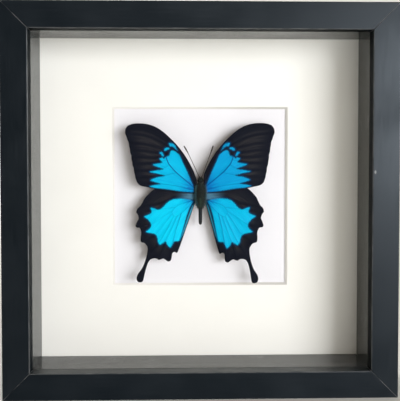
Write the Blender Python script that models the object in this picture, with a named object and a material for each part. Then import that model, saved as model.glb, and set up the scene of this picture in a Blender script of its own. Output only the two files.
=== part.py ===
"""Framed butterfly specimen: a square shadow box frame with one blue swallowtail in it.

Metres, +Z up. The box stands on its bottom rail and its front faces -Y. The origin is
the middle of its footprint. Depths are measured from the front face, and the specimen's
own measures are (out, up): out from the body's axis, up from the middle of the window.
"""

import math

import bmesh
import bpy
from mathutils import Matrix, Vector

MM = 0.001

# Box frame
FRAME_SIDE = 250 * MM
FRAME_DEPTH = 45 * MM
FACE_WIDTH = 17.3 * MM
LIP_DEPTH = 7.5 * MM
LIP_CHAMFER = 0.9 * MM
EDGE_CHAMFER = 0.5 * MM
RAIL_WALL = 9.5 * MM
GAP = 0.3 * MM

# Stack inside the frame, front to back
GLASS_THICKNESS = 2.0 * MM
SPACER_WALL = 7.2 * MM
MAT_DEPTH = 34 * MM
MAT_THICKNESS = 1.5 * MM
MAT_OPENING_WIDTH = 120 * MM
MAT_OPENING_HEIGHT = 122.4 * MM
MAT_OPENING_RISE = 1.2 * MM  # how far its middle sits above the window's
CARD_THICKNESS = 1.2 * MM
BACKBOARD_THICKNESS = 3 * MM

# Steel fittings at the back
TAB_LENGTH = 14 * MM
TAB_WIDTH = 9 * MM
TAB_THICKNESS = 0.5 * MM
TAB_GRIP = 4 * MM
TAB_SPREAD = 60 * MM
HANGER_WIDTH = 34 * MM
HANGER_HEIGHT = 16 * MM
HANGER_THICKNESS = 0.8 * MM
HANGER_DROP = 28 * MM
KEYHOLE_RADIUS = 4 * MM
KEYHOLE_SLOT = 3.6 * MM
RIVET_SPREAD = 12 * MM
RIVET_HEAD = 2.6 * MM
RIVET_SHANK = 1.4 * MM

# Specimen
FOREWING_DEPTH = 27.2 * MM
HINDWING_DEPTH = 28.0 * MM
WING_THICKNESS = 0.4 * MM
WING_RISE = math.radians(2.5)
BODY_DEPTH = 28.2 * MM
BODY_SIDES = 16
BLOCK_WIDTH = 9 * MM
BLOCK_HEIGHT = 13 * MM
BLOCK_CENTRE_UP = 5 * MM
ANTENNA_RADIUS = 0.2 * MM

# Nearest the wings come to the body's axis, in millimetres
WING_ROOT_OUT = 3.6

# Body from head to tail: (up, half width, half depth), in millimetres
BODY_STATIONS = (
    (14.3, 0.6, 0.6), (13.4, 1.7, 1.5), (12.0, 2.1, 1.9), (10.9, 1.7, 1.6),
    (9.6, 2.4, 2.2), (7.5, 3.1, 2.8), (4.5, 3.2, 3.0), (1.0, 3.0, 2.9),
    (-2.0, 2.5, 2.5), (-4.5, 1.8, 2.0), (-8.0, 1.3, 1.6), (-13.0, 1.2, 1.4),
    (-16.2, 0.9, 1.1), (-17.5, 0.4, 0.5),
)

# Wing outlines of the left side, in millimetres (out, up), clockwise from the root
FOREWING_LEADING_EDGE = (
    (3.8, 13.5), (5.0, 19.5), (10.0, 28.5), (15.0, 35.2), (20.0, 40.5), (25.0, 45.0),
    (30.0, 48.2), (35.0, 49.9), (40.0, 50.5), (45.0, 50.2), (48.5, 49.0),
)
FOREWING_OUTER_EDGE = (
    (50.1, 46.5), (50.1, 43.5), (48.8, 40.0), (47.8, 36.8), (47.1, 32.5), (46.2, 28.5),
    (45.7, 24.5), (44.8, 21.0), (44.2, 17.5), (43.3, 13.5), (42.3, 10.8),
)
FOREWING_INNER_EDGE = (
    (40.0, 8.9), (35.0, 7.7), (30.0, 6.6), (25.0, 5.9), (20.0, 5.3), (15.0, 4.5),
    (10.0, 4.0), (3.8, 3.6),
)
HINDWING_LEADING_EDGE = (
    (3.8, 3.0), (10.0, 6.0), (18.0, 8.0), (26.0, 8.2), (31.0, 6.5), (34.5, 3.6),
    (37.3, 0.6), (38.6, -1.8), (40.2, -4.5),
)
HINDWING_SCALLOPS = (
    (42.3, -6.6), (43.1, -9.0), (42.0, -10.6), (41.5, -13.2), (42.5, -15.2),
    (43.6, -18.0), (42.6, -19.2), (40.8, -19.6), (39.8, -22.5), (40.2, -26.5),
    (39.8, -28.9), (37.4, -29.9), (35.6, -33.0),
)
HINDWING_TAIL = (
    (35.9, -37.0), (37.3, -42.0), (39.4, -46.8), (42.1, -50.6), (43.0, -53.6),
    (42.0, -55.8), (40.4, -56.1), (38.8, -55.2), (37.8, -52.0), (37.0, -48.5),
    (35.4, -43.4), (33.6, -40.7),
)
HINDWING_LOBES = (
    (31.5, -40.1), (29.6, -40.2), (28.1, -41.1), (26.6, -40.8), (25.0, -40.3),
    (23.5, -41.3), (21.7, -42.5), (20.0, -41.6), (19.4, -39.5), (18.9, -36.8),
    (17.5, -35.9), (15.9, -36.6),
)
HINDWING_BODY_EDGE = ((14.9, -35.0), (13.0, -30.0), (9.7, -20.4), (6.7, -12.0), (4.2, -4.6))

# How each right wing was spread when it was set, against the left one:
# (stretch out, lean out, shift out, stretch up, lean up), shift in millimetres
SPREAD = {
    "forewing_left": (1.0, 0.0, 0.0, 1.0, 0.0),
    "forewing_right": (1.038, -0.035, -1.0, 1.0, 0.008),
    "hindwing_left": (1.0, 0.0, 0.0, 1.0, 0.0),
    "hindwing_right": (1.009, 0.080, 0.0, 1.025, 0.010),
}

# Antennae from the head out: (out, up, rise towards the glass), in millimetres
ANTENNA_LEFT = (
    (0.9, 14.9, 0.0), (2.9, 19.2, 0.6), (5.8, 25.4, 1.0), (8.5, 31.0, 1.2), (11.0, 35.4, 1.3),
)
ANTENNA_RIGHT = (
    (0.9, 14.9, 0.0), (2.7, 19.4, 0.6), (4.7, 25.0, 1.0), (6.8, 30.6, 1.2), (8.5, 35.6, 1.3),
)

CENTRE_UP = FRAME_SIDE / 2
FRONT_Y = -FRAME_DEPTH / 2
RABBET_HALF = FRAME_SIDE / 2 - RAIL_WALL
BOARD_HALF = RABBET_HALF - GAP
GLASS_DEPTH = LIP_DEPTH + GAP
SPACER_DEPTH = GLASS_DEPTH + GLASS_THICKNESS + GAP
CARD_DEPTH = MAT_DEPTH + MAT_THICKNESS + GAP
BACKBOARD_DEPTH = CARD_DEPTH + CARD_THICKNESS + GAP
FITTINGS_DEPTH = BACKBOARD_DEPTH + BACKBOARD_THICKNESS + GAP


# ------------------------------------------------------------------ helpers


def clear_scene():
    for obj in list(bpy.data.objects):
        bpy.data.objects.remove(obj, do_unlink=True)


def material(name, colour, roughness, metallic=0.0, transmission=0.0):
    """A plain Principled material, made once for each name."""
    found = bpy.data.materials.get(name)
    if found:
        return found
    made = bpy.data.materials.new(name)
    made.use_nodes = True
    shader = made.node_tree.nodes["Principled BSDF"]
    shader.inputs["Base Color"].default_value = (*colour, 1.0)
    shader.inputs["Roughness"].default_value = roughness
    shader.inputs["Metallic"].default_value = metallic
    shader.inputs["Transmission Weight"].default_value = transmission
    return made


def mesh_from(bm, name):
    """A mesh from a bmesh whose faces are turned to point outwards."""
    bmesh.ops.recalc_face_normals(bm, faces=bm.faces)
    mesh = bpy.data.meshes.new(name)
    bm.to_mesh(mesh)
    bm.free()
    return mesh


def add_object(name, data, finish, parent, turn=0.0):
    """An object on the given empty, turned about the depth axis."""
    obj = bpy.data.objects.new(name, data)
    obj.data.materials.clear()
    obj.data.materials.append(finish)
    obj.parent = parent
    obj.rotation_euler = (0.0, turn, 0.0)
    bpy.context.scene.collection.objects.link(obj)
    return obj


def depth_to_y(depth):
    return FRONT_Y + depth


def box(bm, low, high):
    """One box between two corners."""
    size = Vector(high) - Vector(low)
    middle = (Vector(high) + Vector(low)) / 2
    place = Matrix.Translation(middle) @ Matrix.Diagonal((*size, 1.0))
    bmesh.ops.create_cube(bm, size=1.0, matrix=place)


def smooth_curve(points, steps):
    """Points on a Catmull-Rom curve through the given ones, with `steps` to a span."""
    ends = [points[0], *points, points[-1]]
    curve = []
    for before, start, end, after in zip(ends, ends[1:], ends[2:], ends[3:], strict=False):
        for step in range(steps):
            t = step / steps
            curve.append(
                tuple(
                    0.5 * (2 * b + (c - a) * t + (2 * a - 5 * b + 4 * c - d) * t**2
                           + (3 * b - a - 3 * c + d) * t**3)
                    for a, b, c, d in zip(before, start, end, after, strict=True)
                )
            )
    return [*curve, points[-1]]


# ------------------------------------------------------------------ box frame


def strip_mesh(profile, name):
    """A bottom strip of a square frame, mitred at both ends.

    The profile's points are (inset from the frame's outside, depth). A point at inset t
    runs between the two mitres, from -(half side - t) to +(half side - t).
    """
    mitre_gap = GAP / math.sqrt(2)
    half = FRAME_SIDE / 2
    bm = bmesh.new()
    ends = []
    for side in (-1, 1):
        ends.append([
            bm.verts.new((side * (half - inset - mitre_gap), depth_to_y(depth), inset - half))
            for inset, depth in profile
        ])
    bm.faces.new(ends[0])
    bm.faces.new(ends[1])
    count = len(profile)
    for i in range(count):
        j = (i + 1) % count
        bm.faces.new((ends[0][i], ends[0][j], ends[1][j], ends[1][i]))
    return mesh_from(bm, name)


def rail_profile():
    """An L: the face and its lip in front, the side wall running to the back."""
    return (
        (0.0, EDGE_CHAMFER),
        (EDGE_CHAMFER, 0.0),
        (FACE_WIDTH - LIP_CHAMFER, 0.0),
        (FACE_WIDTH, LIP_CHAMFER),
        (FACE_WIDTH, LIP_DEPTH),
        (RAIL_WALL, LIP_DEPTH),
        (RAIL_WALL, FRAME_DEPTH - EDGE_CHAMFER),
        (RAIL_WALL - EDGE_CHAMFER, FRAME_DEPTH),
        (EDGE_CHAMFER, FRAME_DEPTH),
        (0.0, FRAME_DEPTH - EDGE_CHAMFER),
    )


def slotted_rail_mesh(centre):
    """The rail with a slot in its inner wall for each retaining tab."""
    black = material("black_foil", (0.02, 0.02, 0.022), 0.4)
    rail = add_object("rail_blank", strip_mesh(rail_profile(), "rail_blank"), black, centre)
    bm = bmesh.new()
    floor = RAIL_WALL - FRAME_SIDE / 2
    for side in (-1, 1):
        middle = side * TAB_SPREAD
        half_slot = TAB_WIDTH / 2 + GAP
        box(
            bm,
            (middle - half_slot, depth_to_y(FITTINGS_DEPTH - GAP), floor - TAB_GRIP - GAP),
            (middle + half_slot, depth_to_y(FITTINGS_DEPTH + TAB_THICKNESS + GAP), floor + MM),
        )
    slots = add_object("rail_slots", mesh_from(bm, "rail_slots"), black, centre)
    cut = rail.modifiers.new("slots", "BOOLEAN")
    cut.operation = "DIFFERENCE"
    cut.object = slots
    bpy.context.view_layer.update()
    evaluated = rail.evaluated_get(bpy.context.evaluated_depsgraph_get())
    mesh = bpy.data.meshes.new_from_object(evaluated)
    bpy.data.objects.remove(slots, do_unlink=True)
    bpy.data.objects.remove(rail, do_unlink=True)
    return mesh


def tab_mesh():
    """A flat steel tab of the bottom rail, with a round nose over the backboard."""
    wall = RAIL_WALL - FRAME_SIDE / 2
    half = TAB_WIDTH / 2
    nose = wall + TAB_LENGTH - TAB_GRIP - half
    arc = [math.pi * step / 8 for step in range(9)]
    outline = [(half * math.cos(a), nose + half * math.sin(a)) for a in arc]
    outline += [(-half, wall - TAB_GRIP), (half, wall - TAB_GRIP)]
    return plate_mesh(outline, FITTINGS_DEPTH, TAB_THICKNESS, "tab")


def plate_mesh(outline, depth, thickness, name):
    """An outline in (x, z) given a thickness from one depth backwards."""
    bm = bmesh.new()
    face = bm.faces.new([bm.verts.new((x, depth_to_y(depth), z)) for x, z in outline])
    grown = bmesh.ops.extrude_face_region(bm, geom=[face])
    back = [item for item in grown["geom"] if isinstance(item, bmesh.types.BMVert)]
    bmesh.ops.translate(bm, verts=back, vec=(0.0, thickness, 0.0))
    return mesh_from(bm, name)


def board_mesh(half, depth, thickness, name):
    """A square board about the middle of the window."""
    bm = bmesh.new()
    box(bm, (-half, depth_to_y(depth), -half), (half, depth_to_y(depth + thickness), half))
    return mesh_from(bm, name)


def mat_mesh():
    """A square board with a window cut through it, its edge bevelled at 45 degrees."""
    half_width = MAT_OPENING_WIDTH / 2
    half_height = MAT_OPENING_HEIGHT / 2
    back = MAT_DEPTH + MAT_THICKNESS
    rings = (
        (BOARD_HALF, BOARD_HALF, 0.0, MAT_DEPTH),
        (half_width, half_height, MAT_OPENING_RISE, MAT_DEPTH),
        (half_width - MAT_THICKNESS, half_height - MAT_THICKNESS, MAT_OPENING_RISE, back),
        (BOARD_HALF, BOARD_HALF, 0.0, back),
    )
    bm = bmesh.new()
    loops = [
        [
            bm.verts.new((x * wide, depth_to_y(depth), rise + z * high))
            for x, z in ((-1, -1), (1, -1), (1, 1), (-1, 1))
        ]
        for wide, high, rise, depth in rings
    ]
    for inner, outer in zip(loops, loops[1:] + loops[:1], strict=True):
        for i in range(4):
            j = (i + 1) % 4
            bm.faces.new((inner[i], inner[j], outer[j], outer[i]))
    return mesh_from(bm, "mat_board")


def build_frame(centre):
    black = material("black_foil", (0.02, 0.02, 0.022), 0.4)
    spacer_black = material("spacer_black", (0.03, 0.03, 0.032), 0.35)
    spacer_profile = (
        (RAIL_WALL + GAP, SPACER_DEPTH),
        (RAIL_WALL + SPACER_WALL, SPACER_DEPTH),
        (RAIL_WALL + SPACER_WALL, MAT_DEPTH - GAP),
        (RAIL_WALL + GAP, MAT_DEPTH - GAP),
    )
    rail_mesh = slotted_rail_mesh(centre)
    spacer_mesh = strip_mesh(spacer_profile, "spacer")
    steel = material("tab_steel", (0.55, 0.55, 0.56), 0.35, metallic=1.0)
    tab = tab_mesh()
    for place, side in enumerate(("bottom", "left", "top", "right")):
        turn = place * math.pi / 2
        add_object(f"rail_{side}", rail_mesh, black, centre, turn)
        add_object(f"spacer_{side}", spacer_mesh, spacer_black, centre, turn)
        for number, slide in enumerate((-TAB_SPREAD, TAB_SPREAD), start=1):
            obj = add_object(f"tab_{side}_{number}", tab, steel, centre, turn)
            obj.location = Matrix.Rotation(turn, 3, "Y") @ Vector((slide, 0.0, 0.0))


def build_boards(centre):
    add_object(
        "glazing",
        board_mesh(BOARD_HALF, GLASS_DEPTH, GLASS_THICKNESS, "glazing"),
        material("clear_glass", (1.0, 1.0, 1.0), 0.02, transmission=1.0),
        centre,
    )
    add_object("mat_board", mat_mesh(), material("mat_white", (0.93, 0.92, 0.88), 0.9), centre)
    add_object(
        "backing_card",
        board_mesh(BOARD_HALF, CARD_DEPTH, CARD_THICKNESS, "backing_card"),
        material("card_white", (0.93, 0.93, 0.95), 0.85),
        centre,
    )
    add_object(
        "backboard",
        board_mesh(BOARD_HALF, BACKBOARD_DEPTH, BACKBOARD_THICKNESS, "backboard"),
        material("hardboard", (0.28, 0.17, 0.09), 0.8),
        centre,
    )


def keyhole_cutter(centre):
    """A round hole with a narrow slot running up from it."""
    bm = bmesh.new()
    middle_y = depth_to_y(FITTINGS_DEPTH)
    across = Matrix.Rotation(math.pi / 2, 4, "X")
    for radius, up in ((KEYHOLE_RADIUS, -2.5 * MM), (KEYHOLE_SLOT / 2, 4.0 * MM)):
        bmesh.ops.create_cone(
            bm, cap_ends=True, segments=32, radius1=radius, radius2=radius, depth=8 * MM,
            matrix=Matrix.Translation((0.0, middle_y, hanger_up() + up)) @ across,
        )
    lower = add_object(
        "keyhole", mesh_from(bm, "keyhole"), material("cutter", (1, 0, 0), 1.0), centre
    )
    lower.hide_render = True
    lower.display_type = "WIRE"
    bm = bmesh.new()
    box(
        bm,
        (-KEYHOLE_SLOT / 2, middle_y - 4 * MM, hanger_up() - 2.5 * MM),
        (KEYHOLE_SLOT / 2, middle_y + 4 * MM, hanger_up() + 4 * MM),
    )
    slot = add_object("keyhole_slot", mesh_from(bm, "keyhole_slot"), lower.data.materials[0], centre)
    slot.hide_render = True
    slot.display_type = "WIRE"
    return lower, slot


def hanger_up():
    """Height of the hanger's middle above the window's middle."""
    return BOARD_HALF - HANGER_DROP


def rivet_mesh(x, name):
    """A low domed head with a short shank, turned about the depth axis."""
    head_base = FITTINGS_DEPTH + HANGER_THICKNESS + GAP
    profile = (
        (0.0, FITTINGS_DEPTH), (RIVET_SHANK, FITTINGS_DEPTH), (RIVET_SHANK, head_base),
        (RIVET_HEAD, head_base), (RIVET_HEAD * 0.8, head_base + 0.5 * MM),
        (RIVET_HEAD * 0.4, head_base + 0.8 * MM), (0.0, head_base + 0.9 * MM),
    )
    axis_point = Vector((x, 0.0, hanger_up()))
    bm = bmesh.new()
    edges = []
    verts = [bm.verts.new((x + radius, depth_to_y(depth), hanger_up())) for radius, depth in profile]
    for a, b in zip(verts, verts[1:], strict=False):
        edges.append(bm.edges.new((a, b)))
    bmesh.ops.spin(
        bm, geom=verts + edges, cent=axis_point, axis=(0, 1, 0), angle=2 * math.pi, steps=16,
        use_merge=True,
    )
    bmesh.ops.remove_doubles(bm, verts=bm.verts, dist=0.001 * MM)
    return mesh_from(bm, name)


def build_hanger(centre):
    steel = material("hanger_steel", (0.6, 0.6, 0.62), 0.4, metallic=1.0)
    half = HANGER_WIDTH / 2
    corner = 3 * MM
    inner = (half - corner, HANGER_HEIGHT / 2 - corner)
    outline = []
    for quarter, (sx, sz) in enumerate(((1, 1), (-1, 1), (-1, -1), (1, -1))):
        for step in range(5):
            angle = math.pi / 2 * (quarter + step / 4)
            outline.append((
                sx * inner[0] + corner * math.cos(angle),
                sz * inner[1] + corner * math.sin(angle) + hanger_up(),
            ))
    plate = plate_mesh(outline, FITTINGS_DEPTH, HANGER_THICKNESS, "hanger_plate")
    hanger = add_object("hanger_plate", plate, steel, centre)
    cutters = [*keyhole_cutter(centre), *rivet_holes(centre)]
    for cutter in cutters:
        cut = hanger.modifiers.new(cutter.name, "BOOLEAN")
        cut.operation = "DIFFERENCE"
        cut.object = cutter
    for number, x in enumerate((-RIVET_SPREAD, RIVET_SPREAD), start=1):
        add_object(f"rivet_{number}", rivet_mesh(x, f"rivet_{number}"), steel, centre)


def rivet_holes(centre):
    """One round cutter for each rivet's shank."""
    holes = []
    for number, x in enumerate((-RIVET_SPREAD, RIVET_SPREAD), start=1):
        bm = bmesh.new()
        place = Matrix.Translation((x, depth_to_y(FITTINGS_DEPTH), hanger_up()))
        bmesh.ops.create_cone(
            bm, cap_ends=True, segments=24, radius1=RIVET_SHANK + GAP, radius2=RIVET_SHANK + GAP,
            depth=8 * MM, matrix=place @ Matrix.Rotation(math.pi / 2, 4, "X"),
        )
        name = f"rivet_hole_{number}"
        hole = add_object(name, mesh_from(bm, name), material("cutter", (1, 0, 0), 1.0), centre)
        hole.hide_render = True
        hole.display_type = "WIRE"
        holes.append(hole)
    return holes


# ------------------------------------------------------------------ specimen


def spread_point(point, spread):
    """A point of the left wing's shape, moved to where this wing was set, clear of the body."""
    out, up = point
    stretch_out, lean_out, shift_out, stretch_up, lean_up = spread
    return (
        max(WING_ROOT_OUT, stretch_out * out + lean_out * up + shift_out),
        stretch_up * up + lean_up * out,
    )


def wing_mesh(stretches, steps, depth, side, name):
    """A flat thin wing inside a smooth outline, rising towards the glass away from the body."""
    points = [spread_point(p, SPREAD[name]) for stretch in stretches for p in stretch]
    outline = [(out * MM, up * MM) for out, up in smooth_curve(points, steps)]
    bm = bmesh.new()
    face = bm.faces.new([
        bm.verts.new((side * out, depth_to_y(depth) - out * math.tan(WING_RISE), up))
        for out, up in outline
    ])
    grown = bmesh.ops.extrude_face_region(bm, geom=[face])
    back = [item for item in grown["geom"] if isinstance(item, bmesh.types.BMVert)]
    bmesh.ops.translate(bm, verts=back, vec=(0.0, WING_THICKNESS, 0.0))
    bmesh.ops.triangulate(bm, faces=bm.faces)
    return mesh_from(bm, name)


def body_mesh():
    """Head, thorax and abdomen as one form: ellipses carried down the body's axis."""
    stations = smooth_curve(BODY_STATIONS, 2)
    bm = bmesh.new()
    rings = []
    for up, half_width, half_depth in stations:
        ring = []
        for side in range(BODY_SIDES):
            angle = 2 * math.pi * side / BODY_SIDES
            ring.append(bm.verts.new((
                half_width * MM * math.cos(angle),
                depth_to_y(BODY_DEPTH) + half_depth * MM * math.sin(angle),
                up * MM,
            )))
        rings.append(ring)
    for upper, lower in zip(rings, rings[1:], strict=False):
        for i in range(BODY_SIDES):
            j = (i + 1) % BODY_SIDES
            bm.faces.new((upper[i], upper[j], lower[j], lower[i]))
    bm.faces.new(rings[0])
    bm.faces.new(rings[-1])
    mesh = mesh_from(bm, "body")
    mesh.shade_smooth()
    return mesh


def antenna_curve(points, side, name):
    """A thin tube that swells into a club over its last quarter."""
    path = smooth_curve(points, 3)
    curve = bpy.data.curves.new(name, "CURVE")
    curve.dimensions = "3D"
    curve.bevel_depth = ANTENNA_RADIUS
    curve.bevel_resolution = 1
    curve.use_fill_caps = True
    spline = curve.splines.new("POLY")
    spline.points.add(len(path) - 1)
    for place, (out, up, rise) in enumerate(path):
        along = place / (len(path) - 1)
        club = max(0.0, (along - 0.75) / 0.25)
        spline.points[place].co = (
            side * out * MM, depth_to_y(BODY_DEPTH) - rise * MM, up * MM, 1.0
        )
        spline.points[place].radius = 1.0 + 1.2 * math.sin(club * math.pi * 0.7)
    return curve


def build_specimen(centre):
    blue = material("wing_blue", (0.0, 0.45, 0.85), 0.5)
    dark = material("body_dark", (0.02, 0.03, 0.03), 0.8)
    forewing = (FOREWING_LEADING_EDGE, FOREWING_OUTER_EDGE, FOREWING_INNER_EDGE)
    hindwing = (
        HINDWING_LEADING_EDGE, HINDWING_SCALLOPS, HINDWING_TAIL, HINDWING_LOBES,
        HINDWING_BODY_EDGE,
    )
    antennae = {"left": ANTENNA_LEFT, "right": ANTENNA_RIGHT}
    add_object("body", body_mesh(), dark, centre)
    for side_name, side in (("left", -1), ("right", 1)):
        fore = f"forewing_{side_name}"
        hind = f"hindwing_{side_name}"
        antenna = f"antenna_{side_name}"
        add_object(fore, wing_mesh(forewing, 2, FOREWING_DEPTH, side, fore), blue, centre)
        add_object(hind, wing_mesh(hindwing, 2, HINDWING_DEPTH, side, hind), blue, centre)
        add_object(antenna, antenna_curve(antennae[side_name], side, antenna), dark, centre)


def build_support(centre):
    """A block of foam between the thorax and the backing card."""
    front = BODY_DEPTH + 3.0 * MM + GAP
    bm = bmesh.new()
    box(
        bm,
        (-BLOCK_WIDTH / 2, depth_to_y(front), BLOCK_CENTRE_UP - BLOCK_HEIGHT / 2),
        (BLOCK_WIDTH / 2, depth_to_y(CARD_DEPTH - GAP), BLOCK_CENTRE_UP + BLOCK_HEIGHT / 2),
    )
    foam = material("foam_white", (0.9, 0.9, 0.88), 0.9)
    add_object("support_block", mesh_from(bm, "support_block"), foam, centre)


def main():
    clear_scene()
    centre = bpy.data.objects.new("window_centre", None)
    centre.location = (0.0, 0.0, CENTRE_UP)
    bpy.context.scene.collection.objects.link(centre)
    build_frame(centre)
    build_boards(centre)
    build_hanger(centre)
    build_specimen(centre)
    build_support(centre)


main()
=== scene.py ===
"""The looks of a framed butterfly specimen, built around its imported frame.

A square shadow box stands upright, its front facing -Y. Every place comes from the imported
frame. The specimen's own measures are in millimetres as (out, up): out from the body's
axis, up from the middle of the window. Both wings of a pair share one outline and one
pattern, and each was spread a little differently when it was set.
"""

import math

import bpy
import numpy as np
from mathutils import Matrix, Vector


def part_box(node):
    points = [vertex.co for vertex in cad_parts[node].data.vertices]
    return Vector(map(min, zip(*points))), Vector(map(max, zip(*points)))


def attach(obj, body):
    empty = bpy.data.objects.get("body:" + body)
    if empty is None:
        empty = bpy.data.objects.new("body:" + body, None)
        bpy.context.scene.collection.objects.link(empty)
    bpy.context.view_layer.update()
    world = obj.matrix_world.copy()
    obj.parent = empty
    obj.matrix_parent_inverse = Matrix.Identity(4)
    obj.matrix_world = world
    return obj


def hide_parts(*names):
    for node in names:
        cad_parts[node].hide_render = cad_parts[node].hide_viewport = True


bl_info = {
    "name": "Framed butterfly builder",
    "version": (1, 0, 0),
    "blender": (4, 5, 0),
    "location": "3D View > Sidebar > Butterfly box",
    "description": "Builds a spread butterfly in its shadow box around the packed frame",
    "category": "Add Mesh",
}

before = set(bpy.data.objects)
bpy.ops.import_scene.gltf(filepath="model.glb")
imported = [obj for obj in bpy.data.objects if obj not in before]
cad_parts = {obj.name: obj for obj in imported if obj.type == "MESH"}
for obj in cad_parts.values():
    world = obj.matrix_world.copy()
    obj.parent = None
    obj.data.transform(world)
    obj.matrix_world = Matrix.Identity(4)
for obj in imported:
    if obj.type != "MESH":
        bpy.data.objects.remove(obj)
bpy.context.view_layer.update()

MM = 0.001
SIDES = (("left", -1), ("right", 1))
RAIL_SIDES = ("bottom", "left", "top", "right")

# ------------------------------------------------------------------ places from the frame

FRAME_LOW, FRAME_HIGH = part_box("rail_left")[0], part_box("rail_right")[1]
HALF_SIDE = (FRAME_HIGH.x - FRAME_LOW.x) / 2
FRONT_Y, BACK_Y = FRAME_LOW.y, FRAME_HIGH.y
BASE_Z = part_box("rail_bottom")[0].z
MIDDLE_Z = (BASE_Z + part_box("rail_top")[1].z) / 2
FACE_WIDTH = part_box("rail_bottom")[1].z - BASE_Z
RAIL_WALL = HALF_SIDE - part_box("backboard")[1].x - 0.3 * MM
GLASS_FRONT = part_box("glazing")[0].y
BODY_Y = (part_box("body")[0].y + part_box("body")[1].y) / 2
WING_PLATE, WING_SKIN = 0.4 * MM, 0.12 * MM
NICK_PLACE = (109.3 * MM, -22.5 * MM, 143.6 * MM)
MAT_OPENING_TALLER = 2.4 * MM
MAT_OPENING_RISE = 1.2 * MM

# ------------------------------------------------------------------ shapes of the specimen

FOREWING_LEADING_EDGE = (
    (2.4, 12.6), (5.0, 19.5), (10.0, 28.5), (15.0, 35.2), (20.0, 40.5), (25.0, 45.0),
    (30.0, 48.2), (35.0, 49.9), (40.0, 50.5), (45.0, 50.2), (48.5, 49.0),
)
FOREWING_OUTER_EDGE = (
    (48.5, 49.0), (50.1, 46.5), (50.1, 43.5), (48.8, 40.0), (47.8, 36.8), (47.1, 32.5),
    (46.2, 28.5), (45.7, 24.5), (44.8, 21.0), (44.2, 17.5), (43.3, 13.5), (42.3, 10.8),
)
FOREWING_INNER_EDGE = (
    (2.4, 3.6), (10.0, 4.0), (15.0, 4.5), (20.0, 5.3), (25.0, 5.9), (30.0, 6.6),
    (35.0, 7.7), (40.0, 8.9), (42.3, 10.8),
)
HINDWING_LEADING_EDGE = (
    (2.4, 3.0), (10.0, 6.0), (18.0, 8.0), (26.0, 8.2), (31.0, 6.5), (34.5, 3.6),
    (37.3, 0.6), (38.6, -1.8), (40.2, -4.5), (42.3, -6.6), (43.1, -9.0),
)
HINDWING_SCALLOPS = (
    (43.1, -9.0), (42.0, -10.6), (41.5, -13.2), (42.5, -15.2),
    (43.6, -18.0), (42.6, -19.2), (40.8, -19.6), (39.8, -22.5), (40.2, -26.5),
    (39.8, -28.9), (37.4, -29.9), (35.6, -33.0), (35.9, -37.0),
)
HINDWING_TAIL_OUTER = (
    (35.9, -37.0), (37.3, -42.0), (39.4, -46.8), (42.1, -50.6), (43.0, -53.6),
    (42.2, -55.7), (40.4, -56.2),
)
HINDWING_TAIL_INNER = (
    (33.6, -40.7), (35.4, -43.4), (37.0, -48.5), (37.8, -52.0), (38.5, -54.7),
    (39.3, -55.9), (40.4, -56.2),
)
HINDWING_LOBES = (
    (33.6, -40.7), (31.5, -40.1), (29.6, -40.2), (28.1, -41.1), (26.6, -40.8),
    (25.0, -40.3), (23.5, -41.3), (21.7, -42.5),
)
HINDWING_BODY_EDGE = (
    (2.4, -1.5), (4.2, -4.6), (6.7, -12.0), (9.7, -20.4), (13.0, -30.0), (14.9, -35.0),
)
HINDWING_LAST_LOBE = (
    (14.9, -35.0), (15.9, -36.6), (17.5, -35.9), (18.9, -36.8), (19.4, -39.5),
    (20.0, -41.6), (21.7, -42.5),
)

# Blue areas of the forewing: the large one, then the small spots beyond the cell
FOREWING_BLUE = (
    (4.2, 7.0), (5.8, 11.0), (8.5, 17.4), (11.5, 23.8), (13.6, 28.6), (15.0, 30.4),
    (17.2, 32.0), (18.8, 32.6), (20.2, 31.8), (20.8, 29.4), (22.0, 28.6), (23.4, 28.2),
    (24.2, 27.1), (25.8, 27.6), (27.4, 26.9), (26.8, 25.8), (25.7, 24.5), (28.6, 23.8),
    (32.0, 23.0), (28.6, 21.4), (25.0, 19.9), (29.0, 19.3), (34.0, 18.1), (29.0, 17.0),
    (24.0, 15.7), (28.4, 14.8), (31.6, 13.7), (33.4, 12.4), (30.4, 11.2), (27.0, 10.1),
    (30.4, 9.5), (34.0, 8.4), (30.4, 7.3), (26.0, 6.9), (20.0, 6.1), (14.0, 5.1),
    (8.0, 4.5), (4.4, 4.4),
)
FOREWING_SPOTS = (
    ((15.4, 32.4), (17.6, 34.2), (18.8, 35.0), (20.4, 35.2), (21.2, 37.2), (19.8, 37.4),
     (17.6, 36.4)),
    ((20.6, 33.6), (22.4, 32.6), (24.0, 32.2), (24.2, 33.6), (22.8, 34.3), (21.4, 34.4)),
    ((24.4, 28.4), (25.6, 28.5), (26.4, 29.8), (27.4, 31.0), (25.8, 31.5), (24.9, 30.2)),
)
HINDWING_BLUE = (
    (4.6, -1.5), (8.0, -0.2), (13.0, 0.2), (18.0, -0.3), (21.2, -1.6), (23.4, -3.6),
    (25.6, -5.8), (28.2, -7.2), (31.2, -6.3), (33.4, -6.0), (32.9, -8.2), (33.4, -9.6),
    (35.6, -10.8), (37.8, -11.9), (35.6, -13.6), (33.8, -15.8), (33.2, -18.2),
    (34.6, -20.2), (36.6, -22.2), (33.4, -23.0), (30.4, -23.9), (29.2, -25.8),
    (28.6, -29.2), (27.2, -30.9), (25.2, -29.9), (23.4, -29.0), (22.4, -31.0),
    (20.4, -32.9), (18.9, -31.0), (17.6, -28.9), (15.4, -28.7), (13.8, -27.8),
    (12.4, -23.4), (10.8, -17.2), (9.2, -11.4), (7.4, -6.6), (5.6, -3.2),
)
# The pale grey-blue band along the hindwing's edge beside the body
HINDWING_BAND = (
    (3.4, -2.2), (5.6, -5.4), (8.0, -11.2), (10.6, -18.8), (12.6, -25.4), (11.6, -23.6),
    (9.2, -17.2), (6.8, -10.6), (4.2, -4.4),
)

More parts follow.
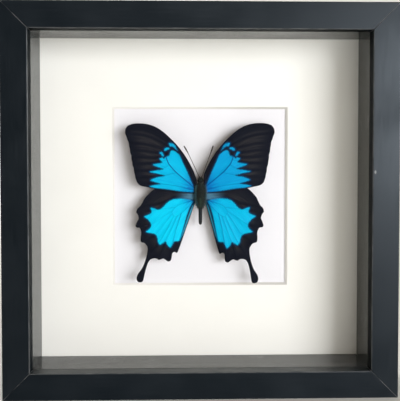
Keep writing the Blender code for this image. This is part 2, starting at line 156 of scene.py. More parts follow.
# Veins, from the cell out to the edge
FOREWING_VEINS = (
    ((3.0, 11.5), (7.5, 20.5), (12.5, 28.6), (19.0, 36.4), (27.0, 43.4), (36.0, 48.0),
     (44.0, 49.6)),
    ((3.0, 10.0), (7.8, 17.5), (11.6, 25.5), (14.8, 30.8), (20.0, 36.8), (29.0, 43.0),
     (39.0, 47.0), (48.0, 47.6)),
    ((3.0, 6.6), (8.0, 10.8), (14.0, 15.8), (17.0, 18.5), (19.5, 21.3), (21.5, 24.0),
     (23.2, 28.5)),
    ((14.8, 30.6), (17.5, 32.9), (19.2, 33.6), (21.0, 32.4), (23.2, 28.5)),
    ((19.2, 33.6), (27.0, 38.6), (37.0, 42.4), (49.8, 43.8)),
    ((20.5, 32.6), (28.0, 34.5), (38.0, 36.8), (47.8, 37.2)),
    ((22.0, 31.0), (29.0, 30.9), (38.0, 32.3), (46.9, 32.8)),
    ((23.2, 28.8), (30.0, 27.6), (38.0, 28.0), (46.0, 28.2)),
    ((22.6, 26.3), (30.0, 24.2), (38.0, 23.8), (45.4, 23.8)),
    ((20.6, 22.8), (27.0, 19.8), (36.0, 19.2), (44.4, 19.2)),
    ((16.0, 17.6), (25.0, 15.6), (34.0, 14.6), (43.6, 14.8)),
    ((3.0, 5.6), (15.0, 8.6), (27.0, 10.1), (42.2, 11.0)),
)
HINDWING_VEINS = (
    ((3.0, 0.6), (9.0, 1.6), (16.0, 1.4), (26.0, -2.6), (40.0, -5.4)),
    ((3.0, -0.6), (9.0, -2.2), (15.0, -4.4), (19.0, -8.6), (17.0, -11.8), (13.6, -10.4),
     (9.4, -6.6), (3.4, -1.6)),
    ((16.6, -5.6), (23.0, -6.4), (32.0, -7.6), (42.8, -8.9)),
    ((18.9, -8.2), (26.0, -12.6), (34.0, -17.4), (43.2, -17.8)),
    ((18.8, -9.6), (24.5, -17.0), (30.6, -24.4), (39.6, -28.6)),
    ((17.6, -11.4), (23.0, -21.6), (29.6, -32.0), (35.4, -39.4), (38.4, -47.6), (40.6, -55.0)),
    ((15.4, -11.4), (19.6, -20.8), (23.6, -29.6), (27.8, -40.8)),
    ((12.8, -9.6), (16.0, -19.6), (18.6, -29.6), (21.4, -42.0)),
    ((3.6, -2.6), (7.6, -9.4), (11.0, -18.6), (14.0, -27.6), (16.4, -36.2)),
)

# How dark each vein's line shows on the blue, in the order above
FOREWING_VEIN_STRENGTHS = (0.2, 0.3, 1.0, 0.6, 0.3, 0.3, 0.3, 0.35, 0.35, 0.35, 0.4, 0.45)
HINDWING_VEIN_STRENGTHS = (0.6, 0.45, 0.5, 0.5, 0.5, 0.55, 0.6, 0.8, 1.0)

# How each wing was spread: (stretch out, lean out, shift out in mm, stretch up, lean up)
SPREAD = {
    "forewing_left": (1.0, 0.0, 0.0, 1.0, 0.0),
    "forewing_right": (1.038, -0.035, -1.0, 1.0, 0.008),
    "hindwing_left": (1.0, 0.0, 0.0, 1.0, 0.0),
    "hindwing_right": (1.009, 0.080, 0.0, 1.025, 0.010),
}
# Painted sheen: each wing's share of cyan in its blue, set per wing for how its scales lie to the
# light
PAINTED_SHEEN_CYAN = {
    "forewing_left": 0.50,
    "forewing_right": 0.04,
    "hindwing_left": 1.0,
    "hindwing_right": 0.56,
}
WING_ROOT_OUT = 2.2

# Body from head to tail: (up, half width, half depth)
BODY_STATIONS = (
    (14.2, 0.5, 0.5), (13.4, 1.4, 1.3), (12.0, 1.8, 1.8), (10.9, 1.5, 1.5),
    (9.6, 2.2, 2.1), (7.5, 2.9, 2.7), (4.5, 3.0, 2.9), (1.0, 2.8, 2.8),
    (-2.0, 2.4, 2.4), (-4.3, 1.8, 1.9), (-7.0, 1.32, 1.5), (-13.0, 1.28, 1.35),
    (-16.4, 1.08, 1.1), (-17.4, 0.5, 0.5),
)

# Antennae from the head out: (out, up, rise towards the glass)
ANTENNAE = {
    "left": ((0.7, 13.6, -0.4), (1.2, 15.4, 0.2), (2.9, 19.2, 0.6), (5.8, 25.4, 1.0),
             (8.5, 31.0, 1.2), (11.0, 35.4, 1.3)),
    "right": ((0.7, 13.6, -0.4), (1.2, 15.4, 0.2), (2.7, 19.4, 0.6), (4.7, 25.0, 1.0),
              (6.8, 30.6, 1.2), (8.5, 35.6, 1.3)),
}

# Legs folded under the thorax: (out, up, depth behind the body's middle) from hip to foot
LEGS = (
    ((1.2, 9.0, 2.0), (3.6, 11.2, 2.8), (6.4, 12.0, 3.0), (6.8, 9.2, 4.0), (6.2, 6.6, 4.8)),
    ((1.6, 6.0, 2.4), (4.8, 6.8, 3.4), (8.0, 6.2, 3.2), (8.4, 2.8, 4.2), (7.6, -0.4, 5.0)),
    ((1.5, 2.6, 2.4), (4.6, 0.6, 3.2), (7.4, -1.2, 3.0), (7.6, -4.2, 4.0), (8.6, -7.4, 4.8)),
)


# ------------------------------------------------------------------ arrays


def unit(vectors):
    """Each vector divided by its own length."""
    length = np.linalg.norm(vectors, axis=-1, keepdims=True)
    return vectors / np.maximum(length, 1e-12)


def points_at(x, y, z):
    """Points with these coordinates, each of them a number or an array."""
    return np.stack(np.broadcast_arrays(x, y, z), axis=-1)


def full_turn(steps):
    """Evenly spaced angles once round."""
    return np.linspace(0.0, 2 * np.pi, steps, endpoint=False)


def run_along(line):
    """Distance along a line from its start to each of its points."""
    return np.concatenate([[0.0], np.cumsum(np.linalg.norm(np.diff(line, axis=0), axis=1))])


def smooth_curve(points, count):
    """`count` points evenly spaced along a Catmull-Rom curve through the given points."""
    given = np.array(points, float)
    ends = np.concatenate([2 * given[:1] - given[1:2], given, 2 * given[-1:] - given[-2:-1]])
    a, b, c, d = (ends[i:len(ends) - 3 + i, None] for i in range(4))
    t = np.linspace(0.0, 1.0, 16, endpoint=False)[None, :, None]
    curve = 0.5 * (2 * b + (c - a) * t + (2 * a - 5 * b + 4 * c - d) * t**2
                   + (3 * b - a - 3 * c + d) * t**3)
    dense = np.concatenate([curve.reshape(-1, given.shape[1]), given[-1:]])
    length = run_along(dense)
    even = np.linspace(0.0, length[-1], count)
    return np.stack([np.interp(even, length, column) for column in dense.T], axis=1)


def closed_outline(points, spacing):
    """A smooth closed curve through the points, as points about `spacing` apart."""
    given = np.array(points, float)
    around = np.concatenate([given, given[:1]])
    count = int(np.linalg.norm(np.diff(around, axis=0), axis=1).sum() / spacing)
    return smooth_curve(around, count)[:-1]


def line_distance(points, line):
    """Distance from each point to the nearest place on a line of straight stretches."""
    nearest = np.full(len(points), np.inf)
    for start, end in zip(line[:-1], line[1:], strict=True):
        along = end - start
        share = np.clip((points - start) @ along / max(along @ along, 1e-12), 0.0, 1.0)
        gap = points - start - share[:, None] * along
        nearest = np.minimum(nearest, np.hypot(gap[:, 0], gap[:, 1]))
    return nearest


def outline_depth(points, outline):
    """How far each point lies inside a closed outline; less than zero outside it."""
    closed = np.concatenate([outline, outline[:1]])
    inside = np.zeros(len(points), bool)
    for start, end in zip(closed[:-1], closed[1:], strict=True):
        spans = (start[1] > points[:, 1]) != (end[1] > points[:, 1])
        slope = (end[0] - start[0]) / (end[1] - start[1] + 1e-12)
        inside ^= spans & (points[:, 0] < start[0] + (points[:, 1] - start[1]) * slope)
    distance = line_distance(points, closed)
    return np.where(inside, distance, -distance)


def grid_faces(index, wrap=False):
    """Quads between neighbouring entries of a grid of point numbers; wrap closes each row."""
    if wrap:
        index = np.concatenate([index, index[:, :1]], axis=1)
    corners = (index[:-1, :-1], index[:-1, 1:], index[1:, 1:], index[1:, :-1])
    return np.stack(corners, axis=-1).reshape(-1, 4)


def unit_grid(rows, columns):
    """Two grids of numbers from 0 to 1: along the rows, and along the columns."""
    axes = np.linspace(0, 1, rows), np.linspace(0, 1, columns)
    return np.stack(np.meshgrid(*axes, indexing="ij"))


def fan_faces(centre, ring):
    """Triangles from one point to a closed ring of points."""
    return np.stack([np.full(len(ring), centre), ring, np.roll(ring, -1)], axis=1)


def closed_rings(rings, start, end):
    """Points and faces of rings joined in a row and closed by a point at each end."""
    rows, sides = rings.shape[:2]
    index = np.arange(rows * sides).reshape(rows, sides)
    faces = [
        grid_faces(index, wrap=True), fan_faces(rows * sides, index[0][::-1]),
        fan_faces(rows * sides + 1, index[-1]),
    ]
    return np.concatenate([rings.reshape(-1, 3), [start, end]]), faces


def specimen_place(out, up, forward):
    """Places in the row frame, from (out, up, forward) of the body's axis in millimetres."""
    return points_at(out * MM, BODY_Y - forward * MM, MIDDLE_Z + up * MM)


def signed_volume(points, faces):
    """Six times the volume that faces enclose, each cut into a fan from its first corner."""
    total = 0.0
    for block in faces:
        first = points[block[:, 0]]
        for i in range(1, block.shape[1] - 1):
            total += np.einsum(
                "ij,ij->i", first, np.cross(points[block[:, i]], points[block[:, i + 1]])
            ).sum()
    return total


def add_piece(name, points, faces, materials, uv=None, values=None, shell=True):
    """A mesh object from arrays.

    `faces` is a list of blocks, each an array with one face to a row. A closed shell is
    turned so that it encloses a positive volume, an open sheet so that it faces -Y. `uv`
    and each of `values` hold one entry to a point.
    """
    if shell:
        turned = signed_volume(points, faces) < 0
    else:
        a, b, c = (points[faces[0][:, i]] for i in range(3))
        turned = np.cross(b - a, c - a)[:, 1].sum() > 0
    blocks = [block[:, ::-1] for block in faces] if turned else faces
    loops = np.concatenate([block.ravel() for block in blocks]).astype(np.int32)
    sizes = np.concatenate([np.full(len(block), block.shape[1]) for block in blocks])
    mesh = bpy.data.meshes.new(name)
    mesh.vertices.add(len(points))
    mesh.vertices.foreach_set("co", points.astype(np.float32).ravel())
    mesh.loops.add(len(loops))
    mesh.loops.foreach_set("vertex_index", loops)
    mesh.polygons.add(len(sizes))
    mesh.polygons.foreach_set("loop_start", (np.cumsum(sizes) - sizes).astype(np.int32))
    mesh.polygons.foreach_set("use_smooth", np.ones(len(sizes), bool))
    mesh.update(calc_edges=True)
    if uv is not None:
        layer = mesh.uv_layers.new(name="surface")
        layer.data.foreach_set("uv", uv[loops].astype(np.float32).ravel())
    for key, column in (values or {}).items():
        attribute = mesh.attributes.new(key, "FLOAT", "POINT")
        attribute.data.foreach_set("value", np.asarray(column, np.float32).ravel())
    piece = bpy.data.objects.new(name, mesh)
    for each in materials:
        mesh.materials.append(each)
    bpy.context.scene.collection.objects.link(piece)
    return piece


def seat(piece, slot, *nodes):
    """Rides a finished piece on the frame and hides the nodes that it replaces; `slot` is not
    used.
    """
    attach(piece, "root")
    if nodes:
        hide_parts(*nodes)
    return piece


# ------------------------------------------------------------------ materials


class Graph:
    """Adds linked nodes to a tree. An input is a number, a colour or another node's socket."""

    def __init__(self, tree):
        self.tree = tree

    def set(self, socket, value):
        if isinstance(value, bpy.types.NodeSocket):
            self.tree.links.new(value, socket)
        elif socket.type == "RGBA" and len(value) == 3:
            socket.default_value = (*value, 1.0)
        else:
            socket.default_value = value

    def add(self, kind, inputs=(), **settings):
        node = self.tree.nodes.new(kind)
        for key, value in settings.items():
            setattr(node, key, value)
        for key, value in dict(inputs).items():
            self.set(node.inputs[key], value)
        return node

    def group(self, name, build, **inputs):
        """The outputs of a shared node group, made the first time that it is asked for."""
        tree = bpy.data.node_groups.get(name) or build(name)
        return self.add("ShaderNodeGroup", node_tree=tree, inputs=inputs).outputs

    def math(self, operation, a, b, clamp=False):
        node = self.add("ShaderNodeMath", {0: a, 1: b}, operation=operation, use_clamp=clamp)
        return node.outputs[0]

    def plus(self, a, b):
        return self.math("ADD", a, b)

    def less(self, a, b):
        return self.math("SUBTRACT", a, b)

    def times(self, a, b):
        return self.math("MULTIPLY", a, b)

    def step(self, value, low, high, out_low=0.0, out_high=1.0):
        """A smooth step from out_low to out_high as value goes from low to high."""
        node = self.add(
            "ShaderNodeMapRange",
            {"Value": value, "From Min": low, "From Max": high, "To Min": out_low,
             "To Max": out_high},
            interpolation_type="SMOOTHSTEP",
        )
        return node.outputs["Result"]

    def mix(self, factor, a, b):
        node = self.add("ShaderNodeMix", data_type="RGBA")
        for index, value in ((0, factor), (6, a), (7, b)):
            self.set(node.inputs[index], value)
        return node.outputs[2]

    def noise(self, vector, scale, detail=2.0, roughness=0.5):
        node = self.add(
            "ShaderNodeTexNoise",
            {"Vector": vector, "Scale": scale, "Detail": detail, "Roughness": roughness},
        )
        return node.outputs["Fac"]

    def cells(self, vector, scale):
        return self.add("ShaderNodeTexVoronoi", {"Vector": vector, "Scale": scale}).outputs

    def shade(self, cells):
        """Each cell's own shade, from the first channel of its colour."""
        return self.add("ShaderNodeSeparateColor", {0: cells["Color"]}).outputs[0]

    def vectors(self, operation, a, b=(0.0, 0.0, 0.0)):
        return self.add("ShaderNodeVectorMath", {0: a, 1: b}, operation=operation).outputs

    def stretched(self, vector, scale):
        node = self.add("ShaderNodeMapping", {"Vector": vector, "Scale": scale})
        return node.outputs["Vector"]

    def attribute(self, name):
        return self.add("ShaderNodeAttribute", attribute_name=name).outputs["Fac"]

    def object_place(self):
        return self.add("ShaderNodeTexCoord").outputs["Object"]

    def surface_place(self):
        return self.add("ShaderNodeUVMap", uv_map="surface").outputs["UV"]

    def bump(self, height, distance, strength):
        inputs = {"Height": height, "Distance": distance, "Strength": strength}
        return self.add("ShaderNodeBump", inputs).outputs["Normal"]


class Finish(Graph):
    """The graph of a new material, with its Principled shader's constants set."""

    def __init__(self, name, base, roughness, **constants):
        self.material = bpy.data.materials.new(name)
        self.material.use_nodes = True
        super().__init__(self.material.node_tree)
        self.shader = self.tree.nodes["Principled BSDF"]
        for key, value in {"Base_Color": base, "Roughness": roughness, **constants}.items():
            self.set(self.shader.inputs[key.replace("_", " ")], value)

    def done(self, base, roughness=None, normal=None):
        """Feeds the shader what changes over the surface, and returns the material."""
        for key, value in (("Base Color", base), ("Roughness", roughness), ("Normal", normal)):
            if value is not None:
                self.set(self.shader.inputs[key], value)
        return self.material


def new_group(name, inputs, outputs):
    """An empty node group with (name, default) inputs and named outputs, all numbers.

    The first input is always the vector that its patterns read.
    """
    tree = bpy.data.node_groups.new(name, "ShaderNodeTree")
    tree.interface.new_socket("Vector", in_out="INPUT", socket_type="NodeSocketVector")
    for label, default in inputs:
        socket = tree.interface.new_socket(label, in_out="INPUT", socket_type="NodeSocketFloat")
        socket.default_value = default
    for label in outputs:
        tree.interface.new_socket(label, in_out="OUTPUT", socket_type="NodeSocketFloat")
    given = tree.nodes.new("NodeGroupInput").outputs
    return Graph(tree), given, tree.nodes.new("NodeGroupOutput").inputs


def shared_material(name, build):
    """A material made once, the first time that it is asked for."""
    return bpy.data.materials.get(name) or build(name)


def build_grain_group(name):
    """Long fine grain: noise drawn out along the first axis, with broader cloudy bands."""
    graph, given, result = new_group(
        name, (("Across", 2400.0), ("Along", 40.0)), ("Grain", "Cloud")
    )
    scale = graph.add(
        "ShaderNodeCombineXYZ", {0: given["Along"], 1: given["Across"], 2: given["Across"]}
    )
    place = graph.vectors("MULTIPLY", given["Vector"], scale.outputs[0])[0]
    graph.set(result["Grain"], graph.noise(place, 1.0, 3.0, 0.6))
    graph.set(result["Cloud"], graph.noise(given["Vector"], 28.0, 2.0))
    return graph.tree


def build_fibre_group(name):
    """Paper fibre: two noises of different fineness, their mix as a height, and faint mottle."""
    graph, given, result = new_group(name, (("Fineness", 2200.0),), ("Height", "Mottle"))
    fine = graph.noise(given["Vector"], given["Fineness"], 3.0, 0.65)
    coarse = graph.noise(given["Vector"], graph.times(given["Fineness"], 0.22), 2.0)
    graph.set(result["Height"], graph.plus(graph.times(fine, 0.6), graph.times(coarse, 0.4)))
    graph.set(result["Mottle"], graph.noise(given["Vector"], 35.0, 3.0))
    return graph.tree


def build_scale_group(name):
    """Wing scales: small cells in rows across the wing, each with its own shade and tilt."""
    graph, given, result = new_group(name, (("Rows", 7000.0),), ("Shade", "Height"))
    place = graph.stretched(given["Vector"], (0.6, 1.0, 1.0))
    cells = graph.cells(place, given["Rows"])
    graph.set(result["Shade"], graph.shade(cells))
    graph.set(result["Height"], graph.less(1.0, cells["Distance"]))
    return graph.tree


def foil_material(name, base, roughness, look, mitre_pale_and_lit=0.3, **constants):
    """Satin black foil with a faint wood grain; its paler edges and mitres are part wear, part
    painted highlight.
    """
    graph = Finish(name, base, roughness, **{"IOR": 1.55, **constants})
    fine, cloud = graph.group("long_grain", build_grain_group, Vector=graph.surface_place())
    rub = graph.noise(graph.object_place(), 90.0, 3.0, 0.6)
    # Paler edges: partly wear, partly a painted highlight along them.
    worn_and_lit = graph.times(graph.attribute("edge"), graph.step(rub, 0.3, 0.7, 0.25, 1.0))
    worn_and_lit = graph.times(worn_and_lit, look.edge_wear_and_highlight)
    mitre = graph.times(graph.attribute("mitre"), graph.step(rub, 0.35, 0.6, 0.15, 1.0))
    nick = graph.step(nick_distance(graph), 0.3 * MM, 0.9 * MM, 0.6, 0.0)
    light = tuple(1.5 * c + 0.004 for c in base)
    tone = graph.mix(graph.step(fine, 0.42, 0.72, 0.0, 0.5), base, light)
    tone = graph.mix(graph.step(cloud, 0.3, 0.75, 0.0, 0.4), tone, light)
    tone = graph.mix(graph.times(worn_and_lit, 0.8), tone, (0.27, 0.275, 0.28))
    # Pale mitre lines: partly the foil's cut edge, partly a painted highlight.
    tone = graph.mix(graph.times(mitre, mitre_pale_and_lit), tone, (0.50, 0.495, 0.50))
    dull = graph.step(fine, 0.3, 0.8, roughness - 0.05, roughness + 0.08)
    dull = graph.plus(dull, graph.step(cloud, 0.3, 0.75, -0.04, 0.05))
    return graph.done(
        graph.mix(nick, tone, (0.30, 0.29, 0.28)),
        graph.less(dull, graph.times(worn_and_lit, 0.15)),
        graph.bump(fine, 0.02 * MM, 0.4),
    )


def nick_distance(graph):
    """Distance to the one small knock in the foil, on the right rail's face."""
    shifted = graph.vectors("SUBTRACT", graph.object_place(), NICK_PLACE)[0]
    return graph.vectors("LENGTH", graph.stretched(shifted, (1.0, 1.0, 0.6)))["Value"]


def board_material(name, face, look):
    """Matt board: a papered face with fibre, and a bare core where an edge is cut, greyed as
    painted shade.
    """
    graph = Finish(name, face, 0.88, Specular_IOR_Level=0.25)
    height, mottle = graph.group("paper_fibre", build_fibre_group, Vector=graph.object_place())
    darker = tuple(0.965 * c for c in face)
    paper = graph.mix(graph.step(mottle, 0.35, 0.7, 0.0, 0.5), face, darker)
    return graph.done(
        # The cut bevel takes the grey core colour, which paints the shade on the bevel over the
        # white core.
        graph.mix(graph.attribute("cut_edge"), paper, look.mat_core_painted_shade),
        graph.step(height, 0.3, 0.7, 0.84, 0.95),
        graph.bump(height, look.paper_relief, 0.5),
    )


def hardboard_material(name):
    """Pressed brown fibreboard: tangled dark and light fibres, with faint scuffs."""
    graph = Finish(name, (0.27, 0.16, 0.085), 0.7)
    place = graph.object_place()
    height, mottle = graph.group(
        "paper_fibre", build_fibre_group, Vector=place, Fineness=900.0
    )
    strands = graph.noise(graph.stretched(place, (1.0, 1.0, 0.35)), 1400.0, 4.0, 0.75)
    tone = graph.mix(
        graph.step(strands, 0.35, 0.68), (0.17, 0.095, 0.05), (0.36, 0.225, 0.125)
    )
    tone = graph.mix(graph.step(mottle, 0.35, 0.7, 0.0, 0.5), tone, (0.22, 0.13, 0.07))
    scuffs = graph.noise(graph.stretched(place, (6.0, 1.0, 90.0)), 12.0, 3.0)
    return graph.done(
        graph.mix(graph.step(scuffs, 0.68, 0.78, 0.0, 0.3), tone, (0.46, 0.34, 0.22)),
        graph.step(strands, 0.3, 0.75, 0.55, 0.85),
        graph.bump(height, 0.12 * MM, 0.6),
    )


def steel_material(name):
    """Dull zinc-plated steel: rolling lines, cloudy spangle and a few dark specks."""
    graph = Finish(name, (0.56, 0.56, 0.58), 0.35, Metallic=1.0)
    place = graph.object_place()
    grain = graph.group(
        "long_grain", build_grain_group, Vector=place, Across=3000.0, Along=120.0
    )["Grain"]
    shade = graph.times(graph.shade(graph.cells(place, 420.0)), 0.6)
    speck = graph.step(graph.noise(place, 1500.0, 3.0, 0.7), 0.68, 0.76, 0.0, 0.7)
    plated = graph.mix(shade, (0.62, 0.62, 0.63), (0.45, 0.46, 0.48))
    return graph.done(
        graph.mix(speck, plated, (0.2, 0.18, 0.16)),
        graph.step(grain, 0.3, 0.75, 0.28, 0.5),
        graph.bump(grain, 0.02 * MM, 0.5),
    )


def foam_material(name):
    """White closed-cell foam with round pores, darker in each pore as painted shade."""
    graph = Finish(name, (0.88, 0.88, 0.86), 0.9)
    depth = graph.step(graph.cells(graph.object_place(), 2600.0)["Distance"], 0.15, 0.5)
    return graph.done(
        # Each pore darkens towards its middle: painted shade in the hollow.
        graph.mix(depth, (0.7, 0.7, 0.68), (0.9, 0.9, 0.88)),
        normal=graph.bump(depth, 0.1 * MM, 0.6),
    )


def glass_material(name):
    """Clear picture glass. Light from the lamps and from inside passes straight through."""
    graph = Finish(name, (1.0, 1.0, 1.0), 0.0, Transmission_Weight=1.0, IOR=1.45)
    smear = graph.noise(graph.object_place(), 18.0, 4.0, 0.6)
    graph.set(graph.shader.inputs["Roughness"], graph.step(smear, 0.55, 0.8, 0.0, 0.012))
    path = graph.add("ShaderNodeLightPath").outputs
    mirrored = graph.math(
        "SUBTRACT", path["Is Glossy Ray"], path["Is Transmission Ray"], clamp=True
    )
    passing = graph.math("MAXIMUM", path["Is Diffuse Ray"], mirrored)
    passing = graph.math("MAXIMUM", passing, path["Is Shadow Ray"])
    clear = graph.add("ShaderNodeBsdfTransparent", {"Color": (0.97, 0.98, 0.975)})
    both = graph.add(
        "ShaderNodeMixShader", {0: passing, 1: graph.shader.outputs[0], 2: clear.outputs[0]}
    )
    graph.set(graph.tree.nodes["Material Output"].inputs["Surface"], both.outputs[0])
    return graph.material


def wing_material(name, look):
    """Upper wing surface.

    Black velvet scales with paler streaks between the veins, part pattern, part painted sheen;
    inside the blue outline the scales turn bright, over a narrow navy rim; veins are thin dark
    lines; the blue deepens at the wing's root. Every edge is frayed by single scales.
    """
    graph = Finish(name, (0.02, 0.02, 0.03), 0.5, Specular_IOR_Level=0.1)
    place = graph.surface_place()
    shade, tilt = graph.group("wing_scales", build_scale_group, Vector=place)
    fray = graph.times(graph.less(shade, 0.5), 0.45)
    wander = graph.times(graph.less(graph.noise(place, 1100.0, 3.0, 0.6), 0.5), 1.2)
    blue_depth = graph.plus(graph.plus(graph.attribute("blue_depth"), fray), wander)
    vein = graph.attribute("vein_distance")
    edge = graph.attribute("edge_distance")
    root = graph.attribute("root_share")
    cyan = graph.attribute("cyan_share")
    streaks = graph.noise(graph.stretched(place, (60.0, 900.0, 1.0)), 1.0, 3.0, 0.6)
    broad = graph.noise(graph.stretched(place, (80.0, 260.0, 1.0)), 1.0, 2.0)

    # Paler streaks between the veins on the black: partly scale pattern, partly painted sheen.
    sheen_streaks = graph.times(graph.step(vein, 0.35, 1.7), graph.step(streaks, 0.25, 0.65))
    sheen_streaks = graph.times(sheen_streaks, graph.step(edge, 2.0, 9.0))
    velvet = graph.mix(sheen_streaks, look.black, look.streak_sheen)

    # Each wing's blue leans to cyan by its own share: painted sheen for how its scales lie to the
    # light.
    azure = graph.mix(cyan, look.azure, look.cyan)
    deep = graph.mix(cyan, look.deep_blue, look.deep_cyan)
    lit = graph.mix(graph.step(root, 0.1, 1.0, 0.0, 0.9), azure, deep)
    lit = graph.mix(graph.step(streaks, 0.38, 0.78, 0.0, 0.45), lit, deep)
    rays = graph.math("MAXIMUM", graph.step(streaks, 0.42, 0.6), graph.step(broad, 0.48, 0.58))
    rays = graph.times(rays, graph.step(root, 0.12, 0.8, 0.0, 0.8))
    lit = graph.mix(rays, lit, (0.0, 0.10, 0.34))
    lit = graph.mix(graph.step(broad, 0.35, 0.7, 0.25, 0.0), lit, deep)
    lit = graph.mix(graph.times(shade, 0.22), lit, deep)
    line = graph.step(graph.attribute("vein_line"), 0.02, 0.85, 0.0, 0.95)
    lit = graph.mix(line, lit, (0.0, 0.075, 0.27))

    rim = graph.mix(graph.step(blue_depth, -1.5, -0.1), velvet, (0.003, 0.022, 0.07))
    pattern = graph.mix(graph.step(blue_depth, -0.35, 0.6), rim, lit)
    dusty = graph.mix(graph.step(streaks, 0.3, 0.7), (0.035, 0.13, 0.23), (0.12, 0.30, 0.44))
    dusk = graph.times(
        graph.step(graph.attribute("dusk_share"), 0.0, 0.95, 0.0, 0.85),
        graph.step(blue_depth, -0.2, 1.2, 1.0, 0.35),
    )
    pattern = graph.mix(dusk, pattern, dusty)
    band = graph.step(graph.attribute("band_depth"), -0.5, 0.6, 0.0, 0.75)
    pattern = graph.mix(band, pattern, (0.04, 0.40, 0.62))
    relief = graph.plus(tilt, graph.step(vein, 0.0, 0.3, 1.5, 0.0))
    return graph.done(
        graph.mix(graph.step(edge, 0.2, 0.65, 0.9, 0.0), pattern, look.black),
        graph.step(blue_depth, -0.35, 0.55, 0.62, 0.42),
        graph.bump(relief, 0.03 * MM, 0.5),
    )


def wing_underside_material(name):
    """Brown underside with paler streaks between darker veins."""
    graph = Finish(name, (0.09, 0.05, 0.03), 0.7)
    place = graph.surface_place()
    shade, tilt = graph.group("wing_scales", build_scale_group, Vector=place)
    streaks = graph.noise(graph.stretched(place, (40.0, 700.0, 1.0)), 1.0, 3.0, 0.6)
    vein = graph.attribute("vein_distance")
    tone = graph.mix(
        graph.step(streaks, 0.35, 0.7), (0.055, 0.032, 0.02), (0.14, 0.085, 0.05)
    )
    tone = graph.mix(graph.step(vein, 0.05, 0.4, 0.8, 0.0), tone, (0.02, 0.012, 0.01))
    spots = graph.step(graph.attribute("edge_distance"), 2.0, 5.0, 1.0, 0.0)
    spots = graph.times(spots, graph.step(vein, 1.0, 1.6))
    tone = graph.mix(spots, tone, (0.2, 0.13, 0.07))
    return graph.done(
        graph.mix(graph.times(shade, 0.3), tone, (0.03, 0.02, 0.012)),
        normal=graph.bump(tilt, 0.03 * MM, 0.5),
    )


def chitin_material(name):
    """Dark insect body with green scales, an olive stripe down the back and paler seams."""
    graph = Finish(name, (0.015, 0.02, 0.02), 0.5, Sheen_Weight=0.1)
    place = graph.object_place()
    shade, tilt = graph.group("wing_scales", build_scale_group, Vector=place, Rows=5200.0)
    patchy = graph.step(graph.noise(place, 700.0, 4.0, 0.7), 0.45, 0.7)
    tone = graph.mix(patchy, (0.009, 0.008, 0.012), (0.020, 0.030, 0.030))
    stripe = graph.times(graph.step(graph.attribute("stripe"), 0.25, 0.95), 0.8)
    tone = graph.mix(stripe, tone, (0.085, 0.12, 0.085))
    return graph.done(
        graph.mix(graph.times(graph.attribute("seam"), 0.5), tone, (0.03, 0.035, 0.03)),
        graph.step(shade, 0.0, 1.0, 0.35, 0.65),
        graph.bump(tilt, 0.05 * MM, 0.7),
    )


def hair_material(name):
    """Body hairs: black to olive green, each with its own shade, bluer at the wings' roots."""
    graph = Finish(name, (0.02, 0.03, 0.03), 0.55, Sheen_Weight=0.15)
    shade = graph.step(graph.attribute("shade"), 0.25, 0.95)
    dark = graph.mix(shade, (0.007, 0.009, 0.011), (0.10, 0.17, 0.12))
    streak = graph.noise(graph.object_place(), 1800.0, 2.0)
    blue = graph.mix(graph.step(streak, 0.35, 0.7), (0.006, 0.06, 0.11), (0.03, 0.24, 0.33))
    return graph.done(
        graph.mix(graph.attribute("teal"), dark, blue), graph.step(streak, 0.3, 0.7, 0.45, 0.65)
    )


def eye_material(name):
    """Compound eye: dark brown, glossy, with a fine net of facets."""
    graph = Finish(name, (0.02, 0.012, 0.01), 0.18)
    cells = graph.cells(graph.object_place(), 14000.0)
    facet = graph.step(cells["Distance"], 0.1, 0.6, 1.0, 0.0)
    return graph.done(
        graph.mix(facet, (0.006, 0.004, 0.004), (0.045, 0.028, 0.02)),
        normal=graph.bump(facet, 0.02 * MM, 0.6),
    )


def limb_material(name):
    """Antennae, legs and tongue: dark brown chitin with close rings."""
    graph = Finish(name, (0.03, 0.022, 0.02), 0.45)
    rings = graph.add(
        "ShaderNodeTexWave",
        {"Vector": graph.surface_place(), "Scale": 900.0, "Distortion": 0.6},
        wave_type="BANDS", bands_direction="X",
    ).outputs["Fac"]
    return graph.done(
        graph.mix(rings, (0.018, 0.013, 0.012), (0.075, 0.058, 0.05)),
        graph.step(rings, 0.0, 1.0, 0.35, 0.6),
        graph.bump(rings, 0.03 * MM, 0.6),
    )


# ------------------------------------------------------------------ frame pieces


# Steps round each soft corner of an outline, and towards each mitre
CORNER_STEPS = 6
SOFT_END_STEPS = 4


def rounded_outline(corners, radii):
    """A closed outline with soft corners, and which of its points lie on one.

    Each corner P becomes a parabola from P + r*a to P + r*b, where a and b point to its
    two neighbours.
    """
    corner = np.array(corners, float)
    reach = np.array(radii, float)[:, None]
    start = corner + reach * unit(np.roll(corner, 1, axis=0) - corner)
    end = corner + reach * unit(np.roll(corner, -1, axis=0) - corner)
    t = np.linspace(0.0, 1.0, CORNER_STEPS + 1)[None, :, None]
    arcs = (1 - t)**2 * start[:, None] + 2 * t * (1 - t) * corner[:, None] + t**2 * end[:, None]
    bend = np.sin(np.pi * t[..., 0]) * np.ones((len(corner), 1))
    return arcs.reshape(-1, 2), bend.ravel()


def inward_normals(outline):
    """A unit vector at each point of a closed outline, pointing into it."""
    along = np.roll(outline, -1, axis=0) - np.roll(outline, 1, axis=0)
    normal = unit(np.stack([-along[:, 1], along[:, 0]], axis=1))
    x, y = outline.T
    area = (x * np.roll(y, -1) - y * np.roll(x, -1)).sum()
    return normal * np.sign(area)


def quarter_turn(points, side):
    """Points of the bottom strip, turned about the window's middle to another side."""
    angle = RAIL_SIDES.index(side) * math.pi / 2
    x, y, z = points.T
    height = z - MIDDLE_Z
    return points_at(
        x * math.cos(angle) + height * math.sin(angle),
        y,
        MIDDLE_Z - x * math.sin(angle) + height * math.cos(angle),
    )


def even_shading(piece):
    """Keeps large flat faces flat beside their soft corners."""
    piece.modifiers.new("even_shading", "WEIGHTED_NORMAL").keep_sharp = True


